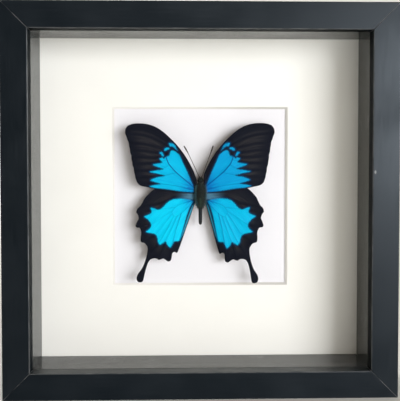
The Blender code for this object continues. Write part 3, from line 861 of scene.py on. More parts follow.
def add_strip(name, side, corners, radii, rubs_and_lights, soft_end, gap, finish, lip=None):
    """One mitred side of a square frame: its outline carried from mitre to mitre.

    `rubs_and_lights` says how pale each corner's edge is painted, for wear and a painted
    highlight, and
    `lip` is the finish of the faces between the outline's second and fourth corners.

    A point of the outline at inset t runs from -(half side - t) to +(half side - t). Near
    each end the outline shrinks by r(1 - cos a) while it advances by r(1 - sin a).
    """
    outline, bend = rounded_outline(corners, radii)
    inward = inward_normals(outline)
    angles = np.linspace(0.0, math.pi / 2, SOFT_END_STEPS)
    back = soft_end * (1 - np.sin(angles))
    shrink = soft_end * (1 - np.cos(angles))
    set_back = np.concatenate([back[::-1], back])[:, None]
    set_in = np.concatenate([shrink[::-1], shrink])[:, None]
    sign = np.repeat([-1.0, 1.0], SOFT_END_STEPS)[:, None]
    section = outline + inward * set_in[..., None]
    x = sign * (HALF_SIDE - outline[:, 0] - gap - set_back)
    points = points_at(
        x, FRONT_Y + section[..., 1], MIDDLE_Z - HALF_SIDE + section[..., 0]
    ).reshape(-1, 3)
    rows, count = x.shape
    uv = np.stack([points[:, 0], np.tile(run_along(outline), rows)], axis=1)
    uv += RAIL_SIDES.index(side) * 0.37
    index = np.arange(len(points)).reshape(rows, count)
    faces = [grid_faces(index, wrap=True), index[:1, ::-1], index[-1:]]
    # Edge paleness at each point: wear, with a painted highlight strongest on the inner front
    # edge.
    rubbed_and_lit = np.tile(bend * np.repeat(rubs_and_lights, CORNER_STEPS + 1), rows)
    mitre = np.repeat(set_in[:, 0] / soft_end, count)
    piece = add_piece(
        name, quarter_turn(points, side), faces, [finish], uv=uv,
        values={"edge": rubbed_and_lit, "mitre": mitre},
    )
    # The lip's faces take the darker foil, which paints the shade in that recess.
    if lip:
        piece.data.materials.append(lip)
        face = np.arange(count)
        first = 2 * (CORNER_STEPS + 1)
        on_lip = (face >= first - 1) & (face < first + CORNER_STEPS + 1)
        marks = np.concatenate([np.tile(on_lip, rows - 1), [False, False]])
        piece.data.polygons.foreach_set("material_index", marks.astype(np.int32))
    even_shading(piece)
    return piece


def build_rails(look):
    """Four rails of L-shaped outline with their own foil, and on all but the bottom a lip in
    duller foil darkened as painted shade.
    """
    depth = BACK_Y - FRONT_Y
    lip = GLASS_FRONT - FRONT_Y - 0.3 * MM
    corners = (
        (0.0, 0.0), (FACE_WIDTH, 0.0), (FACE_WIDTH, lip), (RAIL_WALL, lip),
        (RAIL_WALL, depth), (0.0, depth),
    )
    radii = np.array((0.7, 0.65, 0.35, 0.2, 0.7, 0.8)) * MM
    # Edge paleness of each corner: wear, and on the inner front edge mostly a painted highlight.
    rubs_and_lights = (0.35, 1.0, 0.0, 0.0, 0.3, 0.5)
    # A darker, duller copy of the foil for the lips: its darker colour is painted shade in the
    # recess; the bottom rail keeps the plain foil.
    lip_foil = foil_material(
        "lip_foil", [0.6 * c for c in look.foil], 0.65, look, Specular_IOR_Level=0.08
    )
    for side in RAIL_SIDES:
        # 0.9 makes the rails' mitre lines strongly pale: cut edge and painted highlight.
        finish = foil_material(f"black_foil_{side}", look.foil, look.foil_roughness, look, 0.9)
        piece = add_strip(
            f"rail_{side}_foil", side, corners, radii, rubs_and_lights, 0.28 * MM, 0.08 * MM, finish,
            None if side == "bottom" else lip_foil,
        )
        seat(piece, "black_foil", f"rail_{side}")


def build_spacers(look):
    """Four strips of rectangular outline behind the glass."""
    low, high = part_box("spacer_bottom")
    inset, top = low.z - BASE_Z, high.z - BASE_Z
    near, far = low.y - FRONT_Y, high.y - FRONT_Y
    corners = ((inset, near), (top, near), (top, far), (inset, far))
    radii = np.array((0.2, 0.35, 0.35, 0.2)) * MM
    # Edge paleness of each corner, partly wear and partly a painted highlight.
    rubs_and_lights = (0.0, 0.3, 0.0, 0.0)
    finish = foil_material("spacer_foil", look.spacer, look.spacer_roughness, look, IOR=1.68)
    for side in RAIL_SIDES:
        piece = add_strip(
            f"spacer_{side}_strip", side, corners, radii, rubs_and_lights, 0.12 * MM, 0.05 * MM, finish
        )
        seat(piece, "spacer_black", f"spacer_{side}")


def build_mat(look):
    """The mat: an outline of (half width, y) carried round the square, its bevel at 45 degrees.

    Points on the window's side move up with the window, whose height differs from its width.
    """
    low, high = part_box("mat_board")
    outer = high.x
    opening = look.mat_opening / 2
    thick = high.y - low.y
    corners = ((outer, low.y), (opening, low.y), (opening - thick, high.y), (outer, high.y))
    outline, _ = rounded_outline(corners, np.array((0.15, 0.12, 0.08, 0.15)) * MM)
    half, y = outline.T
    windowed = half < (outer + opening) / 2
    points = np.concatenate([
        points_at(
            half * sx, y,
            MIDDLE_Z + half * sz + windowed * (MAT_OPENING_TALLER / 2 * sz + MAT_OPENING_RISE),
        )
        for sx, sz in ((-1, -1), (1, -1), (1, 1), (-1, 1))
    ])
    index = np.arange(len(points)).reshape(4, -1).T
    index = np.concatenate([index, index[:1]])
    cut = (half < opening - 0.06 * MM) & (y < high.y - 0.02 * MM)
    piece = add_piece(
        "mat_board_cut", points, [grid_faces(index, wrap=True)],
        [board_material("mat_paper", look.mat, look)], values={"cut_edge": np.tile(cut, 4)},
    )
    even_shading(piece)
    seat(piece, "mat_white", "mat_board")


def dress(node, finish):
    """Gives a node of the frame its finish."""
    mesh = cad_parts[node].data
    mesh.materials.clear()
    mesh.materials.append(finish)


# ------------------------------------------------------------------ wings


# Passes of smoothing after which no face of a hindwing is folded
RELAXING_PASSES = 300


def coons_patch(leading, trailing, root, margin):
    """The surface between four edges: one ruled along, one ruled across, less the bilinear one.

    `leading` and `trailing` run from the root to the margin; `root` and `margin` run from
    the leading edge to the trailing edge.
    """
    t = np.linspace(0.0, 1.0, len(leading))[:, None, None]
    s = np.linspace(0.0, 1.0, len(margin))[None, :, None]
    along = (1 - s) * leading[:, None] + s * trailing[:, None]
    across = (1 - t) * root[None] + t * margin[None]
    corners = (1 - t) * ((1 - s) * leading[0] + s * trailing[0])
    corners = corners + t * ((1 - s) * leading[-1] + s * trailing[-1])
    return along + across - corners


def relaxed(grid):
    """The inner points of a grid moved by a fixed number of smoothing passes; its edges stay.

    Each pass is one step of Winslow's smoothing. With A and D the steps across and down at
    a point, it becomes (A.A (above + below) + D.D (left + right) - A.D twist / 2), divided
    by 2 (A.A + D.D), where twist is the sum of one pair of diagonals less the other.
    """
    grid = grid.copy()
    for _ in range(RELAXING_PASSES):
        across = (grid[1:-1, 2:] - grid[1:-1, :-2]) / 2
        down = (grid[2:, 1:-1] - grid[:-2, 1:-1]) / 2
        aa, dd, ad = (
            (u * v).sum(axis=-1, keepdims=True)
            for u, v in ((across, across), (down, down), (across, down))
        )
        twist = grid[2:, 2:] - grid[2:, :-2] - grid[:-2, 2:] + grid[:-2, :-2]
        moved = aa * (grid[2:, 1:-1] + grid[:-2, 1:-1]) + dd * (grid[1:-1, 2:] + grid[1:-1, :-2])
        grid[1:-1, 1:-1] = (moved - ad * twist / 2) / np.maximum(2 * (aa + dd), 1e-9)
    return grid


def spread_points(flat, spread):
    """Points (out, up) of the shared wing, leant and stretched to where this wing was set."""
    stretch_out, lean_out, shift_out, stretch_up, lean_up = spread
    out, up = flat.T
    return np.stack([
        np.maximum(WING_ROOT_OUT, stretch_out * out + lean_out * up + shift_out),
        stretch_up * up + lean_up * out,
    ], axis=1)


def wing_values(flat, outline, veins, strengths, blue_areas, cyan_share):
    """Distances that the wing's markings follow, in millimetres, at each point (out, up).

    A vein's line is exp(-(distance / 0.36)^2) times its strength, and the strongest shows.
    """
    distances = np.array([line_distance(flat, smooth_curve(vein, 24)) for vein in veins])
    drawn = np.exp(-(distances / 0.36)**2) * np.array(strengths)[:, None]
    blue = np.max([outline_depth(flat, closed_outline(a, 0.4)) for a in blue_areas], axis=0)
    near_root = np.exp(-(np.hypot(flat[:, 0] - 2.0, (flat[:, 1] - 4.0) * 0.8) / 11.0)**2)
    return {
        "blue_depth": blue,
        "vein_distance": distances.min(axis=0),
        "vein_line": drawn.max(axis=0),
        "edge_distance": line_distance(flat, outline),
        "root_share": near_root,
        "cyan_share": np.full(len(flat), cyan_share),
        "dusk_share": np.zeros(len(flat)),
        "band_depth": np.full(len(flat), -9.0),
    }


def place_wing(node, side, flat, relief):
    """Wing points in the row frame: out to a side, up, and forward by the rise and relief."""
    low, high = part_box(node)
    reach = max(abs(low.x), abs(high.x)) - min(abs(low.x), abs(high.x))
    rise = (high.y - WING_PLATE - low.y) / reach
    out, up = spread_points(flat, SPREAD[node]).T * MM
    root_y = high.y - WING_PLATE + rise * min(abs(low.x), abs(high.x))
    return points_at(side * out, root_y - rise * out - relief * MM, MIDDLE_Z + up)


def vein_relief(values):
    """Height of veins over the skin that sags between them, in millimetres."""
    distance = values["vein_distance"]
    return 0.10 * np.exp(-(distance / 0.28)**2) - 0.16 * (1 - np.exp(-(distance / 1.6)**2))


def add_wing(node, points, faces, uv, values, look):
    """A wing sheet given its thickness, blue side in front and brown side behind."""
    front = shared_material("wing_upper", lambda name: wing_material(name, look))
    behind = shared_material("wing_under", wing_underside_material)
    piece = add_piece(f"{node}_scaled", points, faces, [front, behind], uv, values, shell=False)
    skin = piece.modifiers.new("skin", "SOLIDIFY")
    skin.thickness = WING_SKIN
    skin.offset = -1.0
    skin.material_offset = 1
    skin.material_offset_rim = 0
    seat(piece, "wing_scales", node)


def build_forewing(name, side, look):
    """A Coons patch between the four edges, cambered by sin(pi t) and bent back at the tip."""
    rows, columns = 190, 150
    node = f"forewing_{name}"
    leading = smooth_curve(FOREWING_LEADING_EDGE, rows)
    trailing = smooth_curve(FOREWING_INNER_EDGE, rows)
    margin = smooth_curve(FOREWING_OUTER_EDGE, columns)
    root = smooth_curve((leading[0], trailing[0]), columns)
    scallop = np.sin(np.linspace(0.0, 9.0, columns) * 2 * np.pi)
    margin[:, 0] += 0.16 * scallop * np.sin(np.linspace(0.0, np.pi, columns))
    flat = coons_patch(leading, trailing, root, margin).reshape(-1, 2)
    values = wing_values(
        flat, np.concatenate([leading, margin, trailing[::-1]]), FOREWING_VEINS,
        FOREWING_VEIN_STRENGTHS, (FOREWING_BLUE, *FOREWING_SPOTS), PAINTED_SHEEN_CYAN[node],
    )
    t, s = (axis.ravel() for axis in unit_grid(rows, columns))
    camber = 0.6 * np.sin(np.pi * t) * (1 - s) - 0.5 * t**3
    wave = 0.15 * np.sin(9.0 * s + 2.0) * t**2
    relief = camber + wave + vein_relief(values)
    faces = [grid_faces(np.arange(rows * columns).reshape(rows, columns))]
    uv = np.stack([t * 0.052, s * 0.038], axis=1)
    add_wing(node, place_wing(node, side, flat, relief), faces, uv, values, look)


def build_hindwing(name, side, look):
    """A relaxed Coons patch with a scalloped margin; the tail is ruled between its sides.

    The tail's first row is the stretch of margin that it grows from, so both share points.
    """
    rows, tail_rows, tail_columns = 170, 70, 14
    node = f"hindwing_{name}"
    leading = smooth_curve(HINDWING_LEADING_EDGE, rows)
    trailing = smooth_curve(HINDWING_BODY_EDGE + HINDWING_LAST_LOBE[1:], rows)
    body_edge = smooth_curve(HINDWING_BODY_EDGE, 60)
    scallops = smooth_curve(HINDWING_SCALLOPS, 96)
    lobes = smooth_curve(HINDWING_LOBES, 60)
    tail_base = smooth_curve((scallops[-1], lobes[0]), tail_columns)
    margin = np.concatenate([scallops, tail_base[1:-1], lobes])
    root = smooth_curve((leading[0], trailing[0]), len(margin))
    main = relaxed(coons_patch(leading, trailing, root, margin)).reshape(-1, 2)

    outer = smooth_curve(HINDWING_TAIL_OUTER, tail_rows)
    inner = smooth_curve(HINDWING_TAIL_INNER, tail_rows)
    across = np.linspace(0.0, 1.0, tail_columns)[None, :, None]
    tail = ((1 - across) * outer[:, None] + across * inner[:, None])[1:-1]
    flat = np.concatenate([main, tail.reshape(-1, 2), outer[-1:]])

    main_index = np.arange(len(main)).reshape(rows, -1)
    first = len(scallops) - 1
    base = main_index[-1:, first:first + tail_columns]
    tail_index = len(main) + np.arange((tail_rows - 2) * tail_columns)
    tail_index = np.concatenate([base, tail_index.reshape(-1, tail_columns)])
    last = tail_index[-1]
    end = np.stack([last[:-1], last[1:], np.full(len(last) - 1, len(flat) - 1)], axis=1)
    faces = [grid_faces(main_index), grid_faces(tail_index), end]

    outline = np.concatenate([leading, scallops, outer, inner[::-1], lobes, trailing[::-1]])
    values = wing_values(
        flat, outline, HINDWING_VEINS, HINDWING_VEIN_STRENGTHS, (HINDWING_BLUE,),
        PAINTED_SHEEN_CYAN[node],
    )
    out, up = flat.T
    from_root = np.hypot(out - 3.0, up + 1.0)
    values["vein_line"] *= 0.5 + 0.5 * np.exp(-(from_root / 16.0)**2)
    values["band_depth"] = outline_depth(flat, closed_outline(HINDWING_BAND, 0.5))
    fading = np.clip(1.0 - (out - 3.0) / 15.0, 0.0, 1.0)
    values["dusk_share"] = fading * np.exp(-((up - 1.3 - 0.05 * out) / 2.3)**4)
    t = np.clip(np.hypot(out - 2.4, up) / 46.0, 0, 1.4)
    beside_body = np.clip(1 - line_distance(flat, body_edge) / 4.0, 0, 1)
    relief = 0.35 * np.sin(np.pi * np.clip(t, 0, 1)) - 0.25 - 1.3 * beside_body**2
    relief += 0.2 * np.sin(out * 0.35 + up * 0.22) * t - 0.3 * np.clip(t - 1, 0, 1)
    relief += vein_relief(values)
    main_uv = unit_grid(rows, main_index.shape[1]) * np.array([0.046, 0.06])[:, None, None]
    uv = np.concatenate([main_uv.reshape(2, -1).T, flat[len(main):] * MM + 0.1])
    add_wing(node, place_wing(node, side, flat, relief), faces, uv, values, look)


# ------------------------------------------------------------------ body


def tube(path, radii, sides):
    """A tube of circles carried along a path and closed by a point at each end.

    Each circle stands square to the path. Returns points, faces and uv, with uv running
    along and around in metres.
    """
    tangent = unit(np.gradient(path, axis=0))
    across = unit(np.cross(tangent, np.array([0.0, 1.0, 0.013])))
    upright = np.cross(across, tangent)
    angle = full_turn(sides)[None, :, None]
    ring = np.cos(angle) * across[:, None] + np.sin(angle) * upright[:, None]
    points, faces = closed_rings(
        path[:, None] + ring * radii[:, None, None],
        path[0] - tangent[0] * radii[0] * 0.5, path[-1] + tangent[-1] * radii[-1] * 0.5,
    )
    run = run_along(path)
    around = np.linspace(0.0, 2 * np.pi * max(radii), sides)
    uv = np.stack(np.meshgrid(run, around, indexing="ij"), -1).reshape(-1, 2)
    return points, faces, np.concatenate([uv, [[0.0, 0.0], [run[-1], 0.0]]])


def add_limb(name, path, radii, sides, *nodes):
    """A ringed tube along a path, seated as part of the insect."""
    points, faces, uv = tube(path, radii, sides)
    finish = shared_material("ringed_limb", limb_material)
    seat(add_piece(name, points, faces, [finish], uv), "insect_body", *nodes)


def body_radii(up):
    """Half width and half depth of the body at a height, in millimetres."""
    height, width, depth = smooth_curve(BODY_STATIONS, 160)[::-1].T
    return np.interp(up, height, width), np.interp(up, height, depth)


def build_body():
    """Ellipses carried down the body's axis, pinched at the seams between abdomen rings."""
    rows, sides = 220, 64
    up = np.linspace(BODY_STATIONS[0][0], BODY_STATIONS[-1][0], rows)
    width, depth = body_radii(up)
    waist, ring_length = -4.5, 1.7
    seam = np.where(up < waist, np.cos(np.pi * (up - waist) / ring_length)**16, 0.0)
    pinch = 1 - 0.09 * seam
    angle = full_turn(sides)
    x = (width * pinch)[:, None] * np.sin(angle)
    forward = (depth * pinch)[:, None] * np.cos(angle)
    points, faces = closed_rings(
        specimen_place(x, up[:, None], forward),
        specimen_place(0.0, up[0] + 0.25, 0.0), specimen_place(0.0, up[-1] - 0.2, 0.0),
    )
    olive = np.exp(-((up + 1.5) / 3.6)**2)[:, None]
    middle = np.exp(-(x / 0.6)**2) * (np.cos(angle) > 0) * olive
    values = {
        "stripe": np.concatenate([middle.ravel(), [0.0, 0.0]]),
        "seam": np.concatenate([np.repeat(seam, sides), [0.0, 0.0]]),
    }
    finish = shared_material("dark_chitin", chitin_material)
    piece = add_piece("body_chitin", points, faces, [finish], values=values)
    seat(piece, "insect_body", "body")


def ellipsoid(centre, radii):
    """Circles of radius cos(a) at height sin(a), scaled to the radii, closed at the poles."""
    rows, sides = 24, 32
    a, b = np.linspace(-np.pi / 2, np.pi / 2, rows)[1:-1, None], full_turn(sides)
    rings = points_at(np.cos(a) * np.cos(b), np.cos(a) * np.sin(b), np.sin(a))
    points, faces = closed_rings(rings, [0.0, 0.0, -1.0], [0.0, 0.0, 1.0])
    return points * np.array(radii) + centre, faces, points[:, :2] * max(radii)


def build_head():
    """Two eyes, two palps and the coiled tongue under the head."""
    eyes = shared_material("compound_eye", eye_material)
    for name, side in SIDES:
        points, faces, uv = ellipsoid(
            specimen_place(side * 1.35, 12.3, 0.35), (0.85 * MM, 1.1 * MM, 1.1 * MM)
        )
        seat(add_piece(f"eye_{name}", points, faces, [eyes], uv), "insect_body")
        out, up, forward = smooth_curve(
            ((side * 0.5, 13.2, -0.4), (side * 0.65, 14.4, 0.3), (side * 0.6, 15.3, 1.0)), 20
        ).T
        radii = 0.32 * MM * np.sin(np.linspace(0.5, 2.9, 20))
        add_limb(f"palp_{name}", specimen_place(out, up, forward), radii, 12)
    turns = np.linspace(0.0, 5.0 * np.pi, 160)
    reach = 0.25 + 0.05 * turns
    coil = specimen_place(0.0, 13.0 + np.sin(turns) * reach, -2.2 - np.cos(turns) * reach)
    add_limb("tongue", coil, np.linspace(0.05, 0.11, 160) * MM, 8)


def build_antennae():
    """Tubes along the antennae, ringed by their joints, swelling into a club at the end."""
    for name, side in SIDES:
        out, up, rise = smooth_curve(ANTENNAE[name], 260).T
        along = np.linspace(0.0, 1.0, len(out))
        club = np.sin(np.clip((along - 0.74) / 0.26, 0, 1) * np.pi * 0.72)
        joints = 1 + 0.10 * np.cos(along * 2 * np.pi * 34)
        radii = (0.19 + 0.27 * club) * joints * MM
        path = specimen_place(side * out, up, rise)
        add_limb(f"antenna_{name}_ringed", path, radii, 16, f"antenna_{name}")


def build_legs():
    """Three pairs of legs folded between the thorax and the card, thinning to the foot."""
    for name, side in SIDES:
        for number, leg in enumerate(LEGS, start=1):
            out, up, behind = smooth_curve(leg, 70).T
            along = np.linspace(0.0, 1.0, len(out))
            knees = 0.05 * np.exp(-((along - 0.5) / 0.04)**2)
            radii = (0.28 - 0.2 * along + knees) * MM
            add_limb(f"leg_{name}_{number}", specimen_place(side * out, up, -behind), radii, 10)


HAIR_POINTS = 7


def hair_points(roots, directions, lengths, width, droop):
    """Hairs of seven points: triangles at the root and half way, and one point at the tip.

    A hair leaves its root along its direction and bends by `droop` times its length.
    """
    side = unit(np.cross(directions, np.array([0.3, 0.2, 1.0])))
    third = np.cross(side, directions)
    angle = np.array([0.0, 2.0, 4.0])[:, None] * np.pi / 3
    ring = (np.cos(angle) * side[:, None] + np.sin(angle) * third[:, None]) * width
    reach = lengths[:, None]
    middle = roots + directions * reach * 0.5 + droop * reach * 0.2
    tip = roots + directions * reach + droop * reach
    points = [roots[:, None] + ring, middle[:, None] + ring * 0.7, tip[:, None]]
    return np.concatenate(points, axis=1).reshape(-1, 3)


def hair_faces(count):
    """Faces of `count` hairs: the root, three sides, and three faces up to the tip."""
    start = HAIR_POINTS * np.arange(count)[:, None]
    sides = np.concatenate([
        start + np.array([[i, (i + 1) % 3, 3 + (i + 1) % 3, 3 + i]]) for i in range(3)
    ])
    tips = np.concatenate([start + np.array([[3 + i, 3 + (i + 1) % 3, 6]]) for i in range(3)])
    return [sides, np.concatenate([tips, start + np.array([[2, 1, 0]])])]


def add_hair(name, points, shade, teal):
    """Hairs as one piece, each with its own shade and its own share of teal."""
    finish = shared_material("body_hair", hair_material)
    values = {"shade": np.repeat(shade, HAIR_POINTS), "teal": np.repeat(teal, HAIR_POINTS)}
    piece = add_piece(name, points, hair_faces(len(shade)), [finish], values=values)
    seat(piece, "insect_body")


def build_hair(look):
    """Hairs over the head and thorax, combed to the tail, and longer ones over the wing roots."""
    rng = np.random.default_rng(11)
    count = look.hair_count
    up = rng.uniform(-6.0, 14.0, count)
    around = rng.normal(0.0, 0.95, count)
    width, depth = body_radii(up)
    normal = unit(np.stack([np.sin(around), -np.cos(around), np.zeros(count)], axis=1))
    roots = specimen_place(width * np.sin(around), up, depth * np.cos(around))
    on_head = up > 11.0
    comb = np.where(on_head, 0.9, -1.0)[:, None] * np.array([0.0, 0.0, 1.0])
    directions = unit(0.45 * normal + 0.75 * comb + rng.normal(0.0, 0.22, (count, 3)))
    lengths = rng.uniform(0.8, 1.7, count) * np.where(on_head, 0.6, 1.0) * MM
    points = hair_points(roots, directions, lengths, 0.040 * MM, 0.12 * comb)
    olive = np.exp(-(roots[:, 0] / (0.8 * MM))**2) * np.exp(-((up + 1.5) / 3.6)**2)
    bright = rng.random(count) < 0.05
    tuft = np.sin(4.6 * up + 1.7 * np.sin(3.0 * around)) * np.cos(4.2 * around + 1.9 * up)
    shade = 0.55 * olive + rng.uniform(0.0, 0.4, count) + 0.55 * np.clip(tuft, 0, 1)**2 + bright
    add_hair("thorax_hair", points, np.clip(shade, 0, 1), np.zeros(count))

    count = look.hair_count // 2
    up = rng.uniform(-4.0, 9.5, count)
    side = rng.choice([-1.0, 1.0], count)
    width, _ = body_radii(up)
    roots = specimen_place(side * (width - 0.4), up, rng.uniform(0.9, 2.2, count))
    aim = np.stack([
        side * 1.0, -0.42 + rng.normal(0, 0.16, count), -0.35 + rng.normal(0, 0.45, count)
    ], axis=1)
    lengths = rng.uniform(0.6, 1.0, count) * rng.choice([1.2, 2.2, 3.2], count) * MM
    points = hair_points(roots, unit(aim), lengths, 0.034 * MM, np.array([0.0, 0.24, -0.15]))
    add_hair("wing_root_hair", points, rng.uniform(0, 1, count)**2, rng.uniform(0, 1, count)**2)


# ------------------------------------------------------------------ fittings


def build_fittings():
    """Steel for the tabs and the hanger, and domed rivets turned from their profile.

    A rivet is a profile of (radius, y) turned about an axis along Y; its ends lie on the axis.
    """
    steel = shared_material("zinc_steel", steel_material)
    for node in [f"tab_{side}_{number}" for side in RAIL_SIDES for number in (1, 2)]:
        dress(node, steel)
    dress("hanger_plate", steel)
    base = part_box("hanger_plate")[1].y + 0.3 * MM
    turn = full_turn(48)
    rise = np.linspace(0.0, np.pi / 2, 10)
    for number in (1, 2):
        low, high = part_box(f"rivet_{number}")
        middle = (low + high) / 2
        head = (high.x - low.x) / 2
        dome = high.y - base
        radius = np.concatenate([[head * 0.54, head * 0.54, head], head * np.cos(rise)])[:, None]
        y = np.concatenate([[low.y, base, base], base + dome * (0.15 + 0.85 * np.sin(rise))])
        rings = points_at(
            middle.x + radius * np.cos(turn), y[:, None], middle.z + radius * np.sin(turn)
        )[:-1]
        points, faces = closed_rings(
            rings, [middle.x, low.y, middle.z], [middle.x, y[-1], middle.z]
        )
        piece = add_piece(f"rivet_{number}_dome", points, faces, [steel])
        seat(piece, "steel", f"rivet_{number}")


# ------------------------------------------------------------------ stage


FLOOR_SIDES = np.array([-3.5, 3.5])
SWEEP_START, SWEEP_BEND = 1.0, 0.5

# Soft lights: name, place, size, colour, and the rays that don't see it
LIGHTS = (
    ("window", (2.00, -2.40, 0.31), (1.9, 2.1), (0.99, 0.985, 1.0), ("glossy",)),
    ("sky", (1.46, -2.40, 0.40), (0.84, 0.86), (0.80, 0.90, 1.0), ("diffuse",)),
    ("reflector", (0.34, -0.60, 0.03), (0.8, 0.4), (1.0, 0.98, 0.94), ("glossy",)),
    ("back", (-1.10, 1.15, 1.15), (2.0, 1.1), (1.0, 0.99, 0.97), ()),
)


def add_area_light(name, place, size, power, light_colour, unseen_by):
    """A rectangular area light turned to the middle of the box, never seen by the camera."""
    light = bpy.data.lights.new(name, "AREA")
    light.shape = "RECTANGLE"
    light.size, light.size_y = size
    light.energy = power
    light.color = light_colour
    lamp = bpy.data.objects.new(name, light)
    bpy.context.scene.collection.objects.link(lamp)
    lamp.location = place
    aim = np.array([0.0, 0.0, MIDDLE_Z]) - np.array(place)
    flat = math.hypot(aim[0], aim[1])
    lamp.rotation_euler = (math.atan2(flat, -aim[2]), 0.0, math.atan2(-aim[0], aim[1]))
    for ray in ("camera", *unseen_by):
        setattr(lamp, f"visible_{ray}", False)


def build_floor(look):
    """A pale floor in front, and behind it a sweep that curves up by a quarter circle."""
    steps = np.linspace(0.0, np.pi / 2, 24)
    curve = np.stack([np.sin(steps), 1 - np.cos(steps)], axis=1) * SWEEP_BEND
    curve[:, 0] += SWEEP_START
    wall = (SWEEP_START + SWEEP_BEND, 3.0)
    finish = Finish("pale_floor", look.floor, 0.85)
    cloud = finish.step(finish.noise(finish.object_place(), 2.2, 3.0), 0.3, 0.7, 0.0, 0.4)
    pale = finish.done(finish.mix(cloud, look.floor, tuple(0.96 * c for c in look.floor)))
    for name, profile in (
        ("pale_floor", np.array([[-3.0, 0.0], [0.0, 0.0]])),
        ("pale_sweep", np.concatenate([[[0.0, 0.0]], curve, [wall]])),
    ):
        points = points_at(FLOOR_SIDES, profile[:, :1], profile[:, 1:]).reshape(-1, 3)
        index = np.arange(len(points)).reshape(-1, 2)
        floor = add_piece(name, points, [grid_faces(index)], [pale], shell=False)
        floor.visible_glossy = name == "pale_sweep"


def build_room(look):
    """Warm light from all round, which gloss doesn't mirror; the camera sees a plain pale room."""
    world = bpy.data.worlds.new("soft_room")
    world.use_nodes = True
    world.cycles_visibility.glossy = False
    room = Graph(world.node_tree)
    light = world.node_tree.nodes["Background"]
    room.set(light.inputs["Color"], (1.0, 0.86, 0.70))
    room.set(light.inputs["Strength"], look.room_light)
    seen = room.add("ShaderNodeBackground", {"Color": (0.80, 0.80, 0.78), "Strength": 1.0})
    by_camera = room.add("ShaderNodeLightPath").outputs["Is Camera Ray"]
    both = room.add(
        "ShaderNodeMixShader", {0: by_camera, 1: light.outputs[0], 2: seen.outputs[0]}
    )
    room.set(world.node_tree.nodes["World Output"].inputs["Surface"], both.outputs[0])
    bpy.context.scene.world = world


# The camera: its place, how many degrees it looks down and to the right, and its shift
EYE_PLACE = (-0.0106, FRONT_Y - 0.3494, 0.1525)
EYE_DOWN, EYE_RIGHT = 1.44, 1.26
EYE_SHIFT = (0.0075, -0.0711)


def build_camera(look):
    """The camera, a little above and left of the box's middle, looking down and right."""
    camera = bpy.data.cameras.new("camera")
    camera.lens = look.lens
    camera.sensor_width = 36.0
    camera.shift_x, camera.shift_y = EYE_SHIFT
    camera.clip_start = 0.01
    eye = bpy.data.objects.new("camera", camera)
    eye.location = EYE_PLACE
    eye.rotation_euler = (math.radians(90 - EYE_DOWN), 0.0, math.radians(-EYE_RIGHT))
    bpy.context.scene.collection.objects.link(eye)
    bpy.context.scene.camera = eye
    bpy.context.scene.view_settings.view_transform = "Standard"


def build_stage(look):
    """The floor, the room, the lights and the camera."""
    build_floor(look)
    build_room(look)
    for name, place, size, light_colour, unseen_by in LIGHTS:
        power = getattr(look, f"{name}_power")
        add_area_light(f"{name}_light", place, size, power, light_colour, unseen_by)
    build_camera(look)


# ------------------------------------------------------------------ add-on


def colour(name, description, default):
    return bpy.props.FloatVectorProperty(
        name=name, description=description, default=default, subtype="COLOR", size=3,
        min=0.0, max=1.0,
    )


def number(name, description, default, highest, lowest=0.0, **kind):
    return bpy.props.FloatProperty(
        name=name, description=description, default=default, min=lowest, max=highest, **kind
    )


class BoxLook(bpy.types.PropertyGroup):
    """Finishes of the shadow box and its boards."""

    foil: colour("Foil", "Colour of the black foil on the rails", (0.0048, 0.0080, 0.0112))
    foil_roughness: number(
        "Foil roughness", "How dull the rails' foil is", 0.42, 1.0, subtype="FACTOR"
    )
    spacer: colour("Spacer", "Colour of the strips inside the box", (0.028, 0.031, 0.031))
    spacer_roughness: number(
        "Spacer roughness", "How dull the strips inside the box are", 0.2, 1.0, subtype="FACTOR"
    )
    # Edge wear also paints the highlight along the foil's edges.
    edge_wear_and_highlight: number(
        "Edge wear", "How far the foil is rubbed along its edges", 0.5, 1.0, subtype="FACTOR"
    )
    mat: colour("Mat", "Colour of the mat's paper face", (0.90, 0.888, 0.862))
    # Grey core: painted shade on the mat's bevel; the core itself is white.
    mat_core_painted_shade: colour("Mat core", "Colour of the mat's cut bevel", (0.73, 0.71, 0.69))
    card: colour("Card", "Colour of the backing card", (0.81, 0.80, 0.85))
    mat_opening: number(
        "Mat opening", "Width of the mat's window at its face", 0.120, 0.2, 0.05, unit="LENGTH"
    )
    paper_relief: number(
        "Paper relief", "Height of the paper's fibres", 0.00006, 0.001, unit="LENGTH"
    )


class SpecimenLook(bpy.types.PropertyGroup):
    """Colours and hair of the butterfly."""

    black: colour("Black", "Colour of the black wing scales", (0.0070, 0.0083, 0.0150))
    # The streak colour is partly scale pattern and partly painted sheen.
    streak_sheen: colour("Soot", "Colour of the paler streaks between veins", (0.025, 0.0232, 0.0265))
    # Azure and cyan are mixed per wing as a painted sheen.
    azure: colour("Azure", "Blue scales turned from the light", (0.0, 0.36, 0.66))
    cyan: colour("Cyan", "Blue scales turned to the light", (0.0, 0.63, 0.86))
    deep_blue: colour("Deep blue", "Darker blue scales by the body", (0.0, 0.15, 0.48))
    deep_cyan: colour("Deep cyan", "Darker cyan scales by the body", (0.0, 0.31, 0.66))
    hair_count: bpy.props.IntProperty(
        name="Hairs", description="Number of hairs on the head and thorax", default=7000,
        min=100, max=12000,
    )


